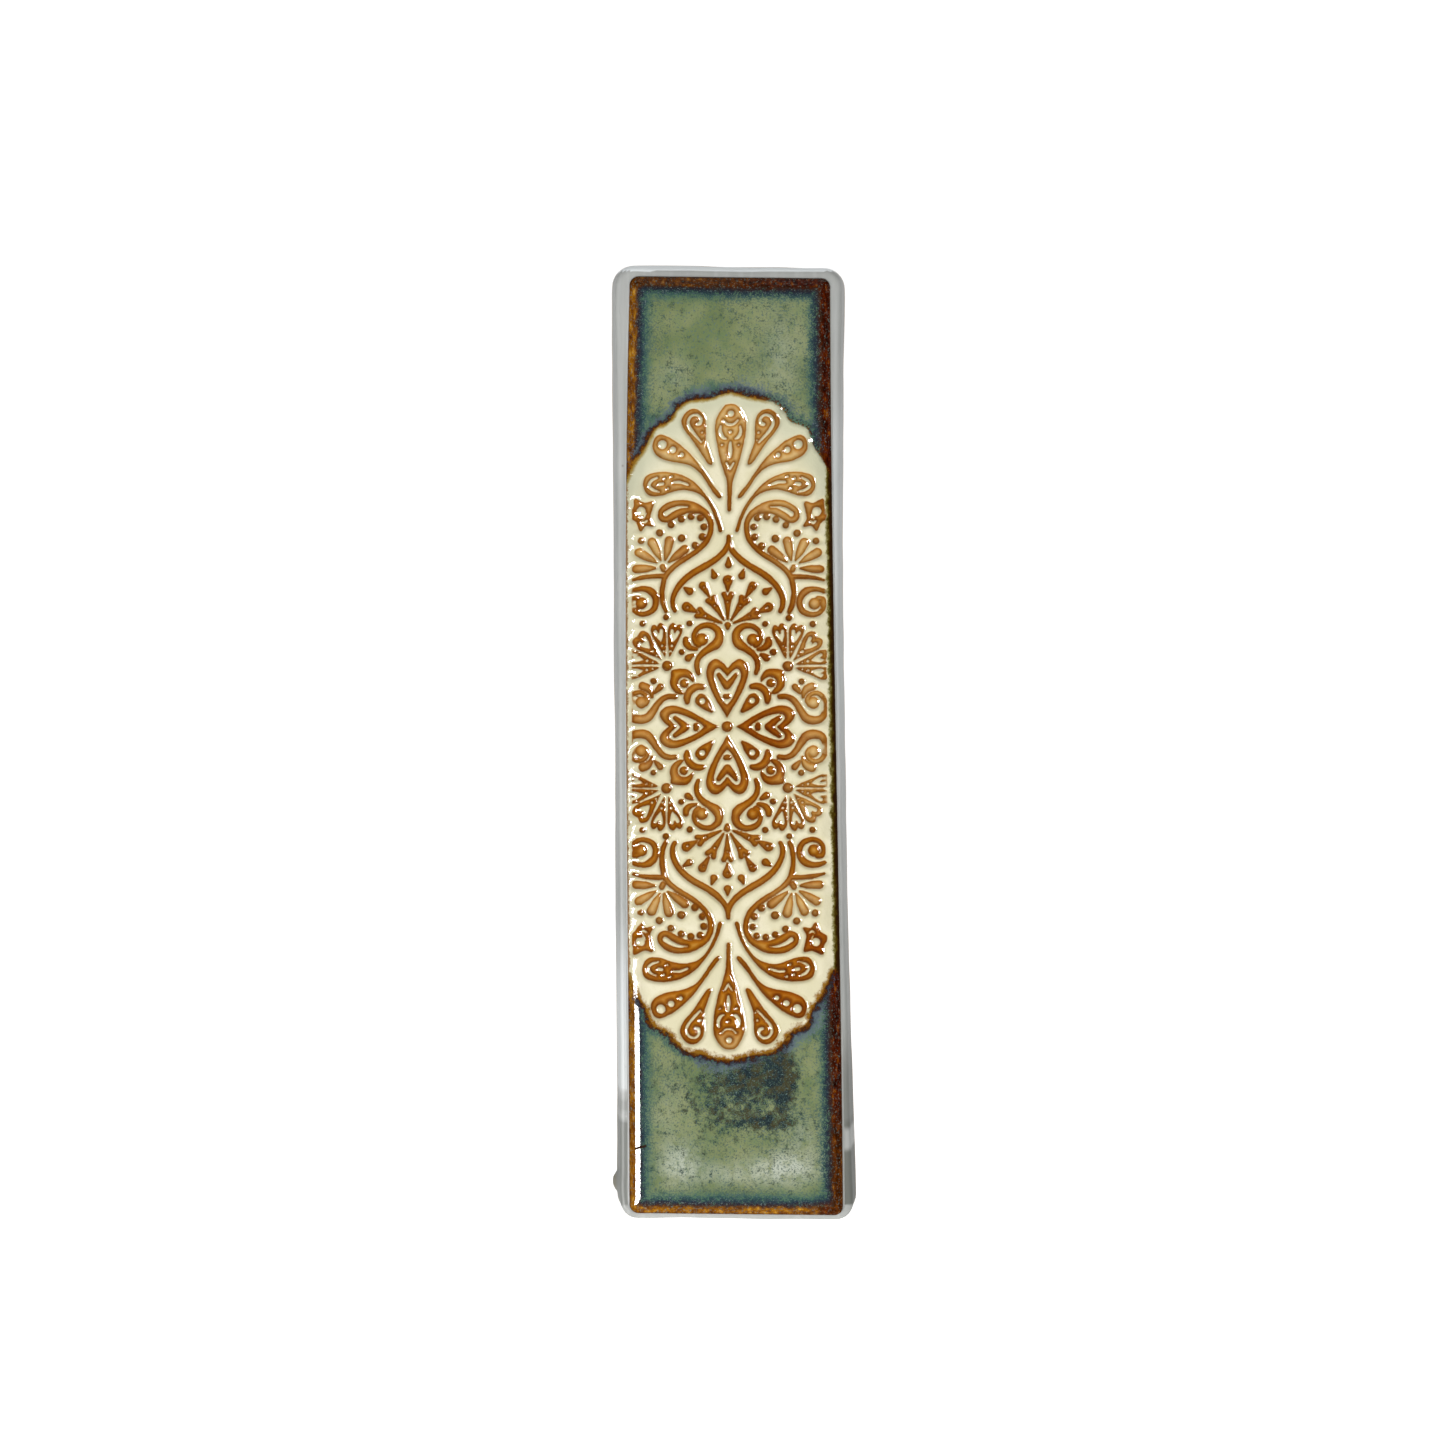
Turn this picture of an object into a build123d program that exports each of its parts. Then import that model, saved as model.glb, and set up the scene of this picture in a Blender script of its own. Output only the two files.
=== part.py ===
"""Ceramic mezuzah case for a door post, in millimetres.

A slab-built stoneware box: a ring of white-glazed walls, a relief slab set into its front, and two hanger bridges
across its open back. A push-in plastic cover closes the scroll chamber between the bridges. Inside lies a
parchment scroll, rolled and wrapped in clear film, held between felt and foam pads.

Frame: +Z up the post, +Y into the post, X to the right when seen from the front. The origin is on the back plane,
where the case lies against the post, midway between the hanger holes.
"""

from build123d import *
import math
import os

# Case walls. The sides are hand-cut, so the case widens and leans a little towards its foot.
CASE_DEPTH = 21.4  # back plane to the front edge of the white walls
CASE_CORNERS = [(-21.1, 85.8), (20.9, 85.3), (23.1, -85.7), (-20.2, -85.3)]  # x, z on the back plane
CASE_RIGHT = [(20.75, 10.0), (21.8, -45.0)]  # the right side between its corners, top to foot
CASE_LEFT = [(-20.4, -45.0), (-20.7, 10.0)]  # the left side, foot to top
CASE_HALF_HEIGHT = 85.5
BACK_CORNER_RADIUS = 3.9
FRONT_FLARE = 0.9  # how far the walls lean in from the back plane to the front
SHOULDER_RADIUS = 1.2
BACK_EDGE_RADIUS = 0.8

# Relief slab, cut by hand as well, so the white rim round it isn't even
SLAB_CORNERS = [(-17.7, 83.2), (17.95, 82.8), (20.3, -84.0), (-17.8, -83.6)]
SLAB_RIGHT = [(18.8, 12.0), (19.75, -40.0)]
SLAB_LEFT = [(-18.0, -45.0), (-18.4, 12.0)]
SLAB_THICKNESS = 6.0
SLAB_FRONT = 24.0  # back plane to the face of the slab
SLAB_CORNER_RADIUS = 1.6
SLAB_EDGE_RADIUS = 1.9
SLAB_GAP = 0.15  # glaze-filled joint round the slab

# Scroll chamber, between the slab and the cover
CHAMBER_SIDE_INSET = 5.2
CHAMBER_END_INSET = 8.0
CHAMBER_CORNER_RADIUS = 2.5
SLAB_BACK = SLAB_FRONT - SLAB_THICKNESS

# Hanger bridges
BRIDGE_INNER_Z = 56.0
BRIDGE_THICKNESS = 4.0
BRIDGE_GAP = 0.1
HANGER_HOLE_RADIUS = 3.0
HANGER_HOLE_Z = 67.0

# Back cover
COVER_WIDTH = 33.4
COVER_LENGTH = 2 * BRIDGE_INNER_Z + 2.0  # it laps a millimetre over each bridge
COVER_THICKNESS = 1.6
COVER_RECESS = 0.5  # how far the cover lies below the back plane
COVER_CORNER_RADIUS = 3.0
COVER_GAP = 0.9  # all round, where the foam edge strips run
COVER_MIDDLE = COVER_RECESS + COVER_THICKNESS / 2
LEDGE_DEPTH = COVER_RECESS + COVER_THICKNESS
STRIP_THICKNESS = 0.7
STRIP_HEIGHT = 1.4
STRIP_END_CLEAR = 5.0
RIB_HEIGHT = 1.2
RIB_WIDTH = 1.4
RIB_END_RADIUS = 0.6
RIB_ROOT = 0.1  # how far a rib reaches into the plate
RIB_LENGTH = 92.0
RIB_X = 11.0
TAB_WIDTH = 10.0
TAB_LENGTH = 24.0
TAB_THICKNESS = 0.35
TAB_CORNER_RADIUS = 1.0
TAB_END_CLEAR = 3.0  # from the cover's upper edge

# Scroll
SCROLL_LENGTH = 100.0  # the parchment is a 100 mm square, rolled
PARCHMENT_THICKNESS = 0.3
SCROLL_OUTER_RADIUS = 6.0
SCROLL_TURN_PITCH = 0.62
SHEET_LENGTH = 100.0
SPIRAL_KNOTS = 60
SPIRAL_STEP = math.radians(2)  # for adding up the sheet's length
FILM_THICKNESS = 0.15
FILM_RADIUS = SCROLL_OUTER_RADIUS + 0.25  # inside of the film
FILM_OVERHANG = 2.5  # film beyond each end of the parchment
PAD_WIDTH = 12.0
PAD_LENGTH = 16.0
PAD_CORNER_RADIUS = 1.5
PAD_Z = 34.0
PAD_CLEAR = 0.2
SCROLL_DEPTH = (LEDGE_DEPTH + SLAB_BACK) / 2  # back plane to the scroll's axis
CLEARANCE = 1.0  # how far a cut reaches past what it cuts

# Drawn flat: local x is X, local y is Z, and local z is the height above the back plane, towards the front.
UPRIGHT = Plane(origin=(0, 0, 0), x_dir=(1, 0, 0), z_dir=(0, -1, 0))


def outline(corners, right_side, left_side, corner_radius, side_inset=0.0, end_inset=0.0):
    """A hand-cut outline, moved inwards, as a flat face."""

    def moved(point, end=0.0):
        x, z = point
        return (x - side_inset * math.copysign(1, x), z - end * math.copysign(1, z))

    top_left, top_right, foot_right, foot_left = [moved(corner, end_inset) for corner in corners]
    edges = [
        Line(top_left, top_right),
        Spline([top_right, *map(moved, right_side), foot_right]),
        Line(foot_right, foot_left),
        Spline([foot_left, *map(moved, left_side), top_left]),
    ]
    face = make_face(Wire(edges))
    return fillet(face.vertices(), corner_radius)


def case_outline(side_inset, end_inset, corner_radius):
    return outline(CASE_CORNERS, CASE_RIGHT, CASE_LEFT, corner_radius, side_inset, end_inset)


def slab_outline(grow=0.0):
    return outline(SLAB_CORNERS, SLAB_RIGHT, SLAB_LEFT, SLAB_CORNER_RADIUS, -grow, -grow)


def slab_solid(face, low, high):
    """A flat face made solid between two heights above the back plane."""
    return extrude(Pos(0, 0, low) * face, high - low)


def outer_block():
    """The walls' outside, leaning in towards the front, with a rounded shoulder."""
    back = case_outline(0, 0, BACK_CORNER_RADIUS)
    front = case_outline(FRONT_FLARE, FRONT_FLARE, BACK_CORNER_RADIUS - FRONT_FLARE)
    block = loft([back, Pos(0, 0, CASE_DEPTH) * front], ruled=True)
    block = fillet(block.faces().sort_by(Axis.Z)[-1].edges(), SHOULDER_RADIUS)
    return fillet(block.faces().sort_by(Axis.Z)[0].edges(), BACK_EDGE_RADIUS)


def case_walls():
    chamber = case_outline(CHAMBER_SIDE_INSET, CHAMBER_END_INSET, CHAMBER_CORNER_RADIUS)
    walls = outer_block()
    walls -= slab_solid(slab_outline(SLAB_GAP), SLAB_BACK, SLAB_FRONT)
    walls -= slab_solid(chamber, -CLEARANCE, SLAB_FRONT)
    return walls - cover_seat()


def cover_seat():
    """The rebate that the cover drops into, cut into the side walls and the bridges."""
    width, length = COVER_WIDTH + 2 * COVER_GAP, COVER_LENGTH + 2 * COVER_GAP
    face = RectangleRounded(width, length, COVER_CORNER_RADIUS + COVER_GAP)
    return slab_solid(face, -CLEARANCE, LEDGE_DEPTH)


def relief_slab():
    slab = slab_solid(slab_outline(), SLAB_BACK, SLAB_FRONT)
    return fillet(slab.faces().sort_by(Axis.Z)[-1].edges(), SLAB_EDGE_RADIUS)


def hanger_bridge(side):
    """The slab across the back at the top (side 1) or the foot (side -1), with its hanger hole."""
    side_inset, end_inset = CHAMBER_SIDE_INSET + BRIDGE_GAP, CHAMBER_END_INSET + BRIDGE_GAP
    block = slab_solid(case_outline(side_inset, end_inset, CHAMBER_CORNER_RADIUS), 0, BRIDGE_THICKNESS)
    end = Box(2 * CASE_HALF_HEIGHT, CASE_HALF_HEIGHT, CASE_DEPTH)
    keep = Pos(0, side * (BRIDGE_INNER_Z + CASE_HALF_HEIGHT / 2), 0) * end
    bridge = (block & keep) - cover_seat()
    hole = Pos(0, side * HANGER_HOLE_Z, 0) * Cylinder(HANGER_HOLE_RADIUS, CASE_DEPTH)
    return bridge - hole


def back_cover():
    """The push-in plate, with two stiffening ribs on its inner face."""
    face = RectangleRounded(COVER_WIDTH, COVER_LENGTH, COVER_CORNER_RADIUS)
    cover = slab_solid(face, COVER_RECESS, LEDGE_DEPTH)
    for side in (-1, 1):
        rib = RectangleRounded(RIB_WIDTH, RIB_LENGTH, RIB_END_RADIUS)
        cover += Pos(side * RIB_X, 0, 0) * slab_solid(rib, LEDGE_DEPTH - RIB_ROOT, LEDGE_DEPTH + RIB_HEIGHT)
    return cover


def side_strips():
    """Foam strips glued along the cover's long edges, which grip the seat."""
    strip = Box(STRIP_THICKNESS, COVER_LENGTH - 2 * STRIP_END_CLEAR, STRIP_HEIGHT)
    x = (COVER_WIDTH + STRIP_THICKNESS) / 2
    return Compound(children=[Pos(side * x, 0, COVER_MIDDLE) * strip for side in (-1, 1)])


def end_strips():
    """Foam strips glued along the cover's short edges."""
    strip = Box(COVER_WIDTH - 2 * STRIP_END_CLEAR, STRIP_THICKNESS, STRIP_HEIGHT)
    y = (COVER_LENGTH + STRIP_THICKNESS) / 2
    return Compound(children=[Pos(0, side * y, COVER_MIDDLE) * strip for side in (-1, 1)])


def pull_tab():
    """The woven tab glued across the cover's outer face, by which it is pulled out."""
    face = RectangleRounded(TAB_WIDTH, TAB_LENGTH, TAB_CORNER_RADIUS)
    z = (COVER_LENGTH - TAB_LENGTH) / 2 - TAB_END_CLEAR
    return Pos(0, z, 0) * slab_solid(face, COVER_RECESS - TAB_THICKNESS, COVER_RECESS)


def pad(z, low, high):
    """A soft pad between two heights above the back plane."""
    return Pos(0, z, 0) * slab_solid(RectangleRounded(PAD_WIDTH, PAD_LENGTH, PAD_CORNER_RADIUS), low, high)


def film_reach():
    return FILM_RADIUS + FILM_THICKNESS + PAD_CLEAR


def felt_pads():
    """Felt pads glued behind the relief slab, in front of the scroll."""
    return Compound(children=[pad(side * PAD_Z, SCROLL_DEPTH + film_reach(), SLAB_BACK) for side in (-1, 1)])


def foam_pads():
    """Foam pads glued inside the cover, behind the scroll."""
    return Compound(children=[pad(side * PAD_Z, LEDGE_DEPTH, SCROLL_DEPTH - film_reach()) for side in (-1, 1)])


def spiral_radius(angle):
    return SCROLL_OUTER_RADIUS - PARCHMENT_THICKNESS / 2 - SCROLL_TURN_PITCH * angle / (2 * math.pi)


def sheet_angle():
    """How far the spiral turns until the whole sheet is rolled up."""
    angle, rolled = 0.0, 0.0
    while rolled < SHEET_LENGTH:
        rolled += spiral_radius(angle) * SPIRAL_STEP
        angle += SPIRAL_STEP
    return angle


def spiral_side(offset, reverse):
    """One face of the rolled sheet, as a spline along the spiral."""
    total = sheet_angle()
    angles = [total * i / SPIRAL_KNOTS for i in range(SPIRAL_KNOTS + 1)]
    points = [
        ((spiral_radius(a) + offset) * math.cos(a), (spiral_radius(a) + offset) * math.sin(a)) for a in angles
    ]
    return Spline(points[::-1] if reverse else points)


def scroll_parchment():
    """The parchment, rolled from its left edge towards its right, drawn across the scroll's axis."""
    half = PARCHMENT_THICKNESS / 2
    outside, inside = spiral_side(half, False), spiral_side(-half, True)
    section = make_face(
        Wire([outside, Line(outside @ 1, inside @ 0), inside, Line(inside @ 1, outside @ 0)])
    )
    return Pos(0, -SCROLL_DEPTH, -SCROLL_LENGTH / 2) * extrude(section, SCROLL_LENGTH)


def scroll_film():
    length = SCROLL_LENGTH + 2 * FILM_OVERHANG
    film = Cylinder(FILM_RADIUS + FILM_THICKNESS, length) - Cylinder(FILM_RADIUS, length + CLEARANCE)
    return Pos(0, -SCROLL_DEPTH, 0) * film


DRAWN_FLAT = {
    "case_walls": case_walls,
    "relief_slab": relief_slab,
    "upper_hanger_bridge": lambda: hanger_bridge(1),
    "lower_hanger_bridge": lambda: hanger_bridge(-1),
    "felt_pads": felt_pads,
    "back_cover": back_cover,
    "cover_side_strips": side_strips,
    "cover_end_strips": end_strips,
    "cover_pull_tab": pull_tab,
    "cover_foam_pads": foam_pads,
}
DRAWN_IN_PLACE = {
    "scroll_parchment": scroll_parchment,
    "scroll_film": scroll_film,
}

os.makedirs("parts", exist_ok=True)
for name, make in DRAWN_FLAT.items():
    export_step(UPRIGHT.location * make(), f"parts/{name}.step")
for name, make in DRAWN_IN_PLACE.items():
    export_step(make(), f"parts/{name}.step")
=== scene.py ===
"""The looks of a ceramic mezuzah case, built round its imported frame.

Row frame: +Z up the door post, -Y towards the viewer, origin on the back plane. The helpers draw in
millimetres, as x, z and the height above the back plane. add_piece turns that into metres in the row frame.
The ornament is drawn once, in its own frame: origin at its centre, one quadrant, mirrored both ways.
"""

import math

import bmesh
import bpy
import numpy as np
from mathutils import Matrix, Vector


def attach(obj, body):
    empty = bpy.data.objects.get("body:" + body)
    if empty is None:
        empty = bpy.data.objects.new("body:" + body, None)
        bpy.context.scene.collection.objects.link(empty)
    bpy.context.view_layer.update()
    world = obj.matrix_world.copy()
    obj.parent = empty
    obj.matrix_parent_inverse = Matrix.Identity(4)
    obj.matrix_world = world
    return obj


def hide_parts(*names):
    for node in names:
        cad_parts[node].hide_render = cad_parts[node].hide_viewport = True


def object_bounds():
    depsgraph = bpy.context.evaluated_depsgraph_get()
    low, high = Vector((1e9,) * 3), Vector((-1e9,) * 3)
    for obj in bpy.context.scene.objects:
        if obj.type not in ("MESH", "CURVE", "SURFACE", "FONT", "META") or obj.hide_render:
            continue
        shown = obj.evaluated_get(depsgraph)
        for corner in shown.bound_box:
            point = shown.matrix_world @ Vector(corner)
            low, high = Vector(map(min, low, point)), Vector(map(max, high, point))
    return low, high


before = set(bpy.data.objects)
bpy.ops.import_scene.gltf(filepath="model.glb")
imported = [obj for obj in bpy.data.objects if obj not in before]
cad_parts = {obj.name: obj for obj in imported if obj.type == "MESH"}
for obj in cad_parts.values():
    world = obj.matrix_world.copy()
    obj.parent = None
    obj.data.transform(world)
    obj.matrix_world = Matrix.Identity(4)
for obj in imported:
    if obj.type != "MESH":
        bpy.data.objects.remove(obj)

CAD_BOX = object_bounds()
MM = 0.001

# The case and what is in it, as they are packed, in millimetres
CASE_DEPTH = 21.4
FRONT_FLARE = 0.9
SHOULDER_RADIUS = 1.2
BACK_EDGE_RADIUS = 0.8
SLAB_BACK, SLAB_FRONT = 18.0, 24.0
CHAMBER_SIDE_INSET, CHAMBER_END_INSET = 5.2, 8.0
CHAMBER_CORNER_RADIUS = 2.5
SEAT_HALF_WIDTH, SEAT_HALF_LENGTH, SEAT_DEPTH = 17.6, 57.9, 2.1
COVER_WIDTH, COVER_LENGTH, COVER_CORNER = 33.4, 114.0, 3.0
COVER_LOW, COVER_HIGH = 0.5, 2.1
TAB_WIDTH, TAB_LENGTH, TAB_Z = 10.0, 24.0, 42.0
SCROLL_AXIS = 10.05  # its height above the back plane
SCROLL_REACH = 6.6  # how far from that axis the pads end
SHEET = 100.0  # the parchment's width and height

# Stamped ornament
PATTERN_X, PATTERN_Z = -0.36, 3.1  # its centre in the row frame
STAMP_LEFT, STAMP_RIGHT = -16.9, 17.7  # where the stamp's edges cut the ornament off
PANEL_DEPTH = 0.2
ORNAMENT_DEPTH = 0.95
EDGE_SOFTNESS = 0.3  # how gently the stamped edges turn over
FAR = 2.5  # distances are worked out up to this far from a shape


# ---------------------------------------------------------------- smooth noise

def lumps(x, z, size, seed):
    """Smooth noise from -1 to 1, with lumps about as large as size, the same on every run."""
    cells = 97
    grid = np.random.RandomState(seed).uniform(-1, 1, (cells, cells))
    u, v = x / size + 40.0, z / size + 40.0
    i, j = np.floor(u).astype(int), np.floor(v).astype(int)
    fu, fv = u - i, v - j
    fu, fv = fu * fu * (3 - 2 * fu), fv * fv * (3 - 2 * fv)

    def corner(di, dj):
        return grid[(i + di) % cells, (j + dj) % cells]

    low = corner(0, 0) * (1 - fu) + corner(1, 0) * fu
    high = corner(0, 1) * (1 - fu) + corner(1, 1) * fu
    return low * (1 - fv) + high * fv


def ease(value, low, high):
    """0 below low, 1 above high, smooth between."""
    t = np.clip((value - low) / (high - low), 0, 1)
    return t * t * (3 - 2 * t)


# ---------------------------------------------------------------- hand-cut outlines

END_POINTS, CORNER_POINTS = 24, 9


def side_curve(points):
    x, z = np.array(points, float).T
    return np.polyfit(z, x, 3)


class Outline:
    """A hand-cut outline: straight ends, and sides that curve gently through four points."""

    def __init__(self, corners, right_side, left_side, radius):
        top_left, top_right, foot_right, foot_left = corners
        self.top, self.foot = (top_left, top_right), (foot_left, foot_right)
        self.right = side_curve([top_right, *right_side, foot_right])
        self.left = side_curve([foot_left, *left_side, top_left])
        self.radius = radius

    def left_x(self, z, inset=0.0):
        return np.polyval(self.left, z) + inset

    def right_x(self, z, inset=0.0):
        return np.polyval(self.right, z) - inset

    def end_z(self, end, x, inset):
        (x0, z0), (x1, z1) = end
        return z0 + (z1 - z0) * (x - x0) / (x1 - x0) - math.copysign(inset, z0)

    def top_z(self, x, inset=0.0):
        return self.end_z(self.top, x, inset)

    def foot_z(self, x, inset=0.0):
        return self.end_z(self.foot, x, inset)

    def loop(self, side_steps, side_inset, end_inset, r):
        """The outline moved inwards, as x and z of a closed loop that starts up the right side."""
        corners = []
        for side_at, end_at, sx, sz, first in (
            (self.right_x, self.top_z, -1, -1, 0), (self.left_x, self.top_z, 1, -1, 90),
            (self.left_x, self.foot_z, 1, 1, 180), (self.right_x, self.foot_z, -1, 1, 270),
        ):
            z = end_at(side_at(0.0, side_inset), end_inset) + sz * r
            x = side_at(z, side_inset) + sx * r
            z = end_at(x, end_inset) + sz * r
            turn = np.radians(first + np.linspace(0, 90, CORNER_POINTS))
            corners.append(np.stack([x + r * np.cos(turn), z + r * np.sin(turn)], 1))
        top_right, top_left, foot_left, foot_right = corners

        def side(side_at, start, end):
            z = start[1] + (end[1] - start[1]) * side_steps
            return np.stack([side_at(z, side_inset), z], 1)

        def end(start, stop):
            t = np.linspace(0, 1, END_POINTS + 2)[1:-1, None]
            return start + (stop - start) * t

        right = side(self.right_x, foot_right[-1], top_right[0])
        left = side(self.left_x, foot_left[0], top_left[-1])[::-1]
        return np.vstack([
            right, top_right, end(top_right[-1], top_left[0]), top_left,
            left, foot_left, end(foot_left[-1], foot_right[0]), foot_right,
        ])


CASE = Outline([(-21.1, 85.8), (20.9, 85.3), (23.1, -85.7), (-20.2, -85.3)],
               [(20.75, 10.0), (21.8, -45.0)], [(-20.4, -45.0), (-20.7, 10.0)], 3.9)
SLAB = Outline([(-17.7, 83.2), (17.95, 82.8), (20.3, -84.0), (-17.8, -83.6)],
               [(18.8, 12.0), (19.75, -40.0)], [(-18.0, -45.0), (-18.4, 12.0)], 1.6)


# ---------------------------------------------------------------- distances for the stamped ornament

def curve(points, closed=False, steps=6):
    """A smooth line through given points. Every column is smoothed alike, a stroke's radius too."""
    p = np.array(points, float)
    if closed:
        p = np.vstack([p[-1], p, p[:2]])
    else:
        p = np.vstack([2 * p[0] - p[1], p, 2 * p[-1] - p[-2]])
    t = np.linspace(0, 1, steps, endpoint=False)[:, None]
    parts = [
        0.5 * (2 * b + (c - a) * t + (2 * a - 5 * b + 4 * c - d) * t**2 + (3 * b - a - 3 * c + d) * t**3)
        for a, b, c, d in zip(p, p[1:], p[2:], p[3:])
    ]
    return np.vstack(parts if closed else [*parts, p[-2:-1]])


def to_segment(x, z, a, b):
    """The distance to a straight piece, and how far along it the nearest point lies."""
    dx, dz = b[0] - a[0], b[1] - a[1]
    t = np.clip(((x - a[0]) * dx + (z - a[1]) * dz) / max(dx * dx + dz * dz, 1e-12), 0, 1)
    return np.hypot(x - a[0] - t * dx, z - a[1] - t * dz), t


def stroke_distance(x, z, line):
    """Distance to a stroke of x, z and radius, negative inside it."""
    best = np.full(x.shape, FAR)
    for a, b in zip(line, line[1:]):
        away, t = to_segment(x, z, a, b)
        best = np.minimum(best, away - (a[2] + t * (b[2] - a[2])))
    return best


def area_distance(x, z, loop):
    """Distance to the edge of a closed shape, negative inside it."""
    best, inside = np.full(x.shape, FAR), np.zeros(x.shape, bool)
    for a, b in zip(loop, np.roll(loop, -1, axis=0)):
        best = np.minimum(best, to_segment(x, z, a, b)[0])
        if a[1] != b[1]:
            across = (a[1] > z) != (b[1] > z)
            inside ^= across & (x < a[0] + (z - a[1]) * (b[0] - a[0]) / (b[1] - a[1]))
    return np.where(inside, -best, best)


class Ornament:
    """Where the clay is stamped in. The field is the distance to the nearest edge, below 0 in a recess."""

    def __init__(self, x, z):
        self.x, self.z = x, z
        self.field = np.full(x.shape, FAR)
        self.pit = np.zeros(x.shape)  # 1 in the small deep dots, coloured darker as painted shade of their depth

    def near(self, shape, reach):
        low, high = shape[:, :2].min(0) - reach, shape[:, :2].max(0) + reach
        return (self.x > low[0]) & (self.x < high[0]) & (self.z > low[1]) & (self.z < high[1])

    def add(self, shape, distance, raised):
        reach = FAR + (shape[:, 2].max() if shape.shape[1] > 2 else 0)
        at = self.near(shape, reach)
        d = distance(self.x[at], self.z[at], shape)
        self.field[at] = np.maximum(self.field[at], -d) if raised else np.minimum(self.field[at], d)

    def stroke(self, *points, raised=False):
        """A stroke through x, z, radius points."""
        line = curve(points) if len(points) > 2 else np.array(points, float)
        self.add(line, stroke_distance, raised)

    def dot(self, x, z, radius, raised=False, dark=0.9):
        self.add(np.array([(x, z, radius), (x + 0.01, z, radius)]), stroke_distance, raised)
        if not raised:
            away = np.hypot(self.x - x, self.z - z)
            self.pit = np.maximum(self.pit, dark * ease(away, radius + 0.35, radius))

    def area(self, points, steps=6):
        self.add(curve(points, True, steps), area_distance, False)

    def mirrored_area(self, points, turn=False, raised=False):
        """A shape that is its own mirror image across x = 0, or with turn across z = 0."""
        half = curve(points)
        loop = np.vstack([half, (half * [-1, 1])[::-1]])
        self.add(loop[:, ::-1] if turn else loop, area_distance, raised)


def radial(origin, angle, points):
    """Points given as (along, across, ...) from a pivot, turned to an angle in degrees."""
    c, s = math.cos(math.radians(angle)), math.sin(math.radians(angle))
    return [(origin[0] + u * c - v * s, origin[1] + u * s + v * c, *rest) for u, v, *rest in points]


# ---------------------------------------------------------------- the ornament, one quadrant

HEART_OUTER = [(0, 1.6), (0.75, 3.0), (1.95, 5.0), (3.0, 7.1), (3.65, 9.0), (3.65, 10.3), (3.1, 11.45),
               (2.1, 11.95), (1.0, 11.4), (0, 10.3)]
HEART_INNER = [(0, 3.95), (0.8, 4.8), (1.65, 6.4), (2.3, 8.2), (2.45, 9.4), (2.1, 10.2), (1.45, 10.35),
               (0.75, 9.8), (0, 8.95)]


def hearts(o):
    for turn in (False, True):
        o.mirrored_area(HEART_OUTER, turn)
        o.mirrored_area(HEART_INNER, turn, raised=True)
        chevron = [(1.55, 9.25, 0.36), (0.85, 8.3, 0.48), (0.0, 7.35, 0.66)]
        notch = [(0.28, 5.5, 0.42), (0.0, 5.42, 0.44)]
        for line in (chevron, notch):
            o.stroke(*[(z, x, radius) if turn else (x, z, radius) for x, z, radius in line])


def centre_flower(o):
    o.dot(0, 0, 0.88, dark=0.35)
    o.stroke((4.65, 4.8, 1.05), (3.8, 3.9, 0.8), (2.75, 2.8, 0.28))
    o.dot(4.45, 4.62, 0.6, raised=True)
    o.area([(6.0, 8.2), (6.15, 9.1), (6.8, 9.95), (7.8, 10.3), (9.85, 10.05), (10.0, 9.0), (10.15, 8.0),
            (9.95, 7.1), (9.4, 6.35), (8.5, 5.85), (7.6, 6.0), (6.4, 7.0)])
    o.stroke((7.65, 7.7, 1.22), (6.3, 6.4, 1.35), raised=True)
    o.dot(7.72, 7.75, 0.72, dark=0.0)
    o.stroke((4.4, 7.15, 0.42), (5.3, 7.2, 0.56), (6.2, 6.85, 0.62), (6.9, 6.1, 0.62), (7.2, 5.2, 0.58),
             (7.15, 4.45, 0.38))


def side_scroll(o):
    o.stroke((9.3, 5.35, 0.4), (10.4, 5.4, 0.42), (11.5, 4.95, 0.46), (12.45, 3.9, 0.52), (13.2, 2.7, 0.6),
             (14.1, 1.6, 0.72), (15.4, 1.25, 0.72), (16.7, 1.55, 0.62), (17.4, 2.7, 0.5), (17.5, 4.0, 0.45),
             (17.1, 5.3, 0.42), (16.2, 6.0, 0.4), (15.3, 6.05, 0.36), (14.5, 5.5, 0.36), (14.2, 4.7, 0.42),
             (14.6, 4.1, 0.5))
    o.dot(15.3, 4.3, 1.02, dark=0.0)
    o.stroke((13.4, 5.3, 0.24), (13.6, 6.1, 0.42), (14.2, 6.85, 0.66), (15.05, 7.2, 0.74))
    o.stroke((11.95, 7.1, 0.55), (12.5, 6.5, 0.4), (12.9, 6.05, 0.22))
    o.dot(13.15, 8.1, 0.48)


FAN_PIVOT = (10.75, 10.85)
FAN_RIBS = [117, 90, 62.5, 28, 1, -24]  # the directions of the cream ribs between its leaves


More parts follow.
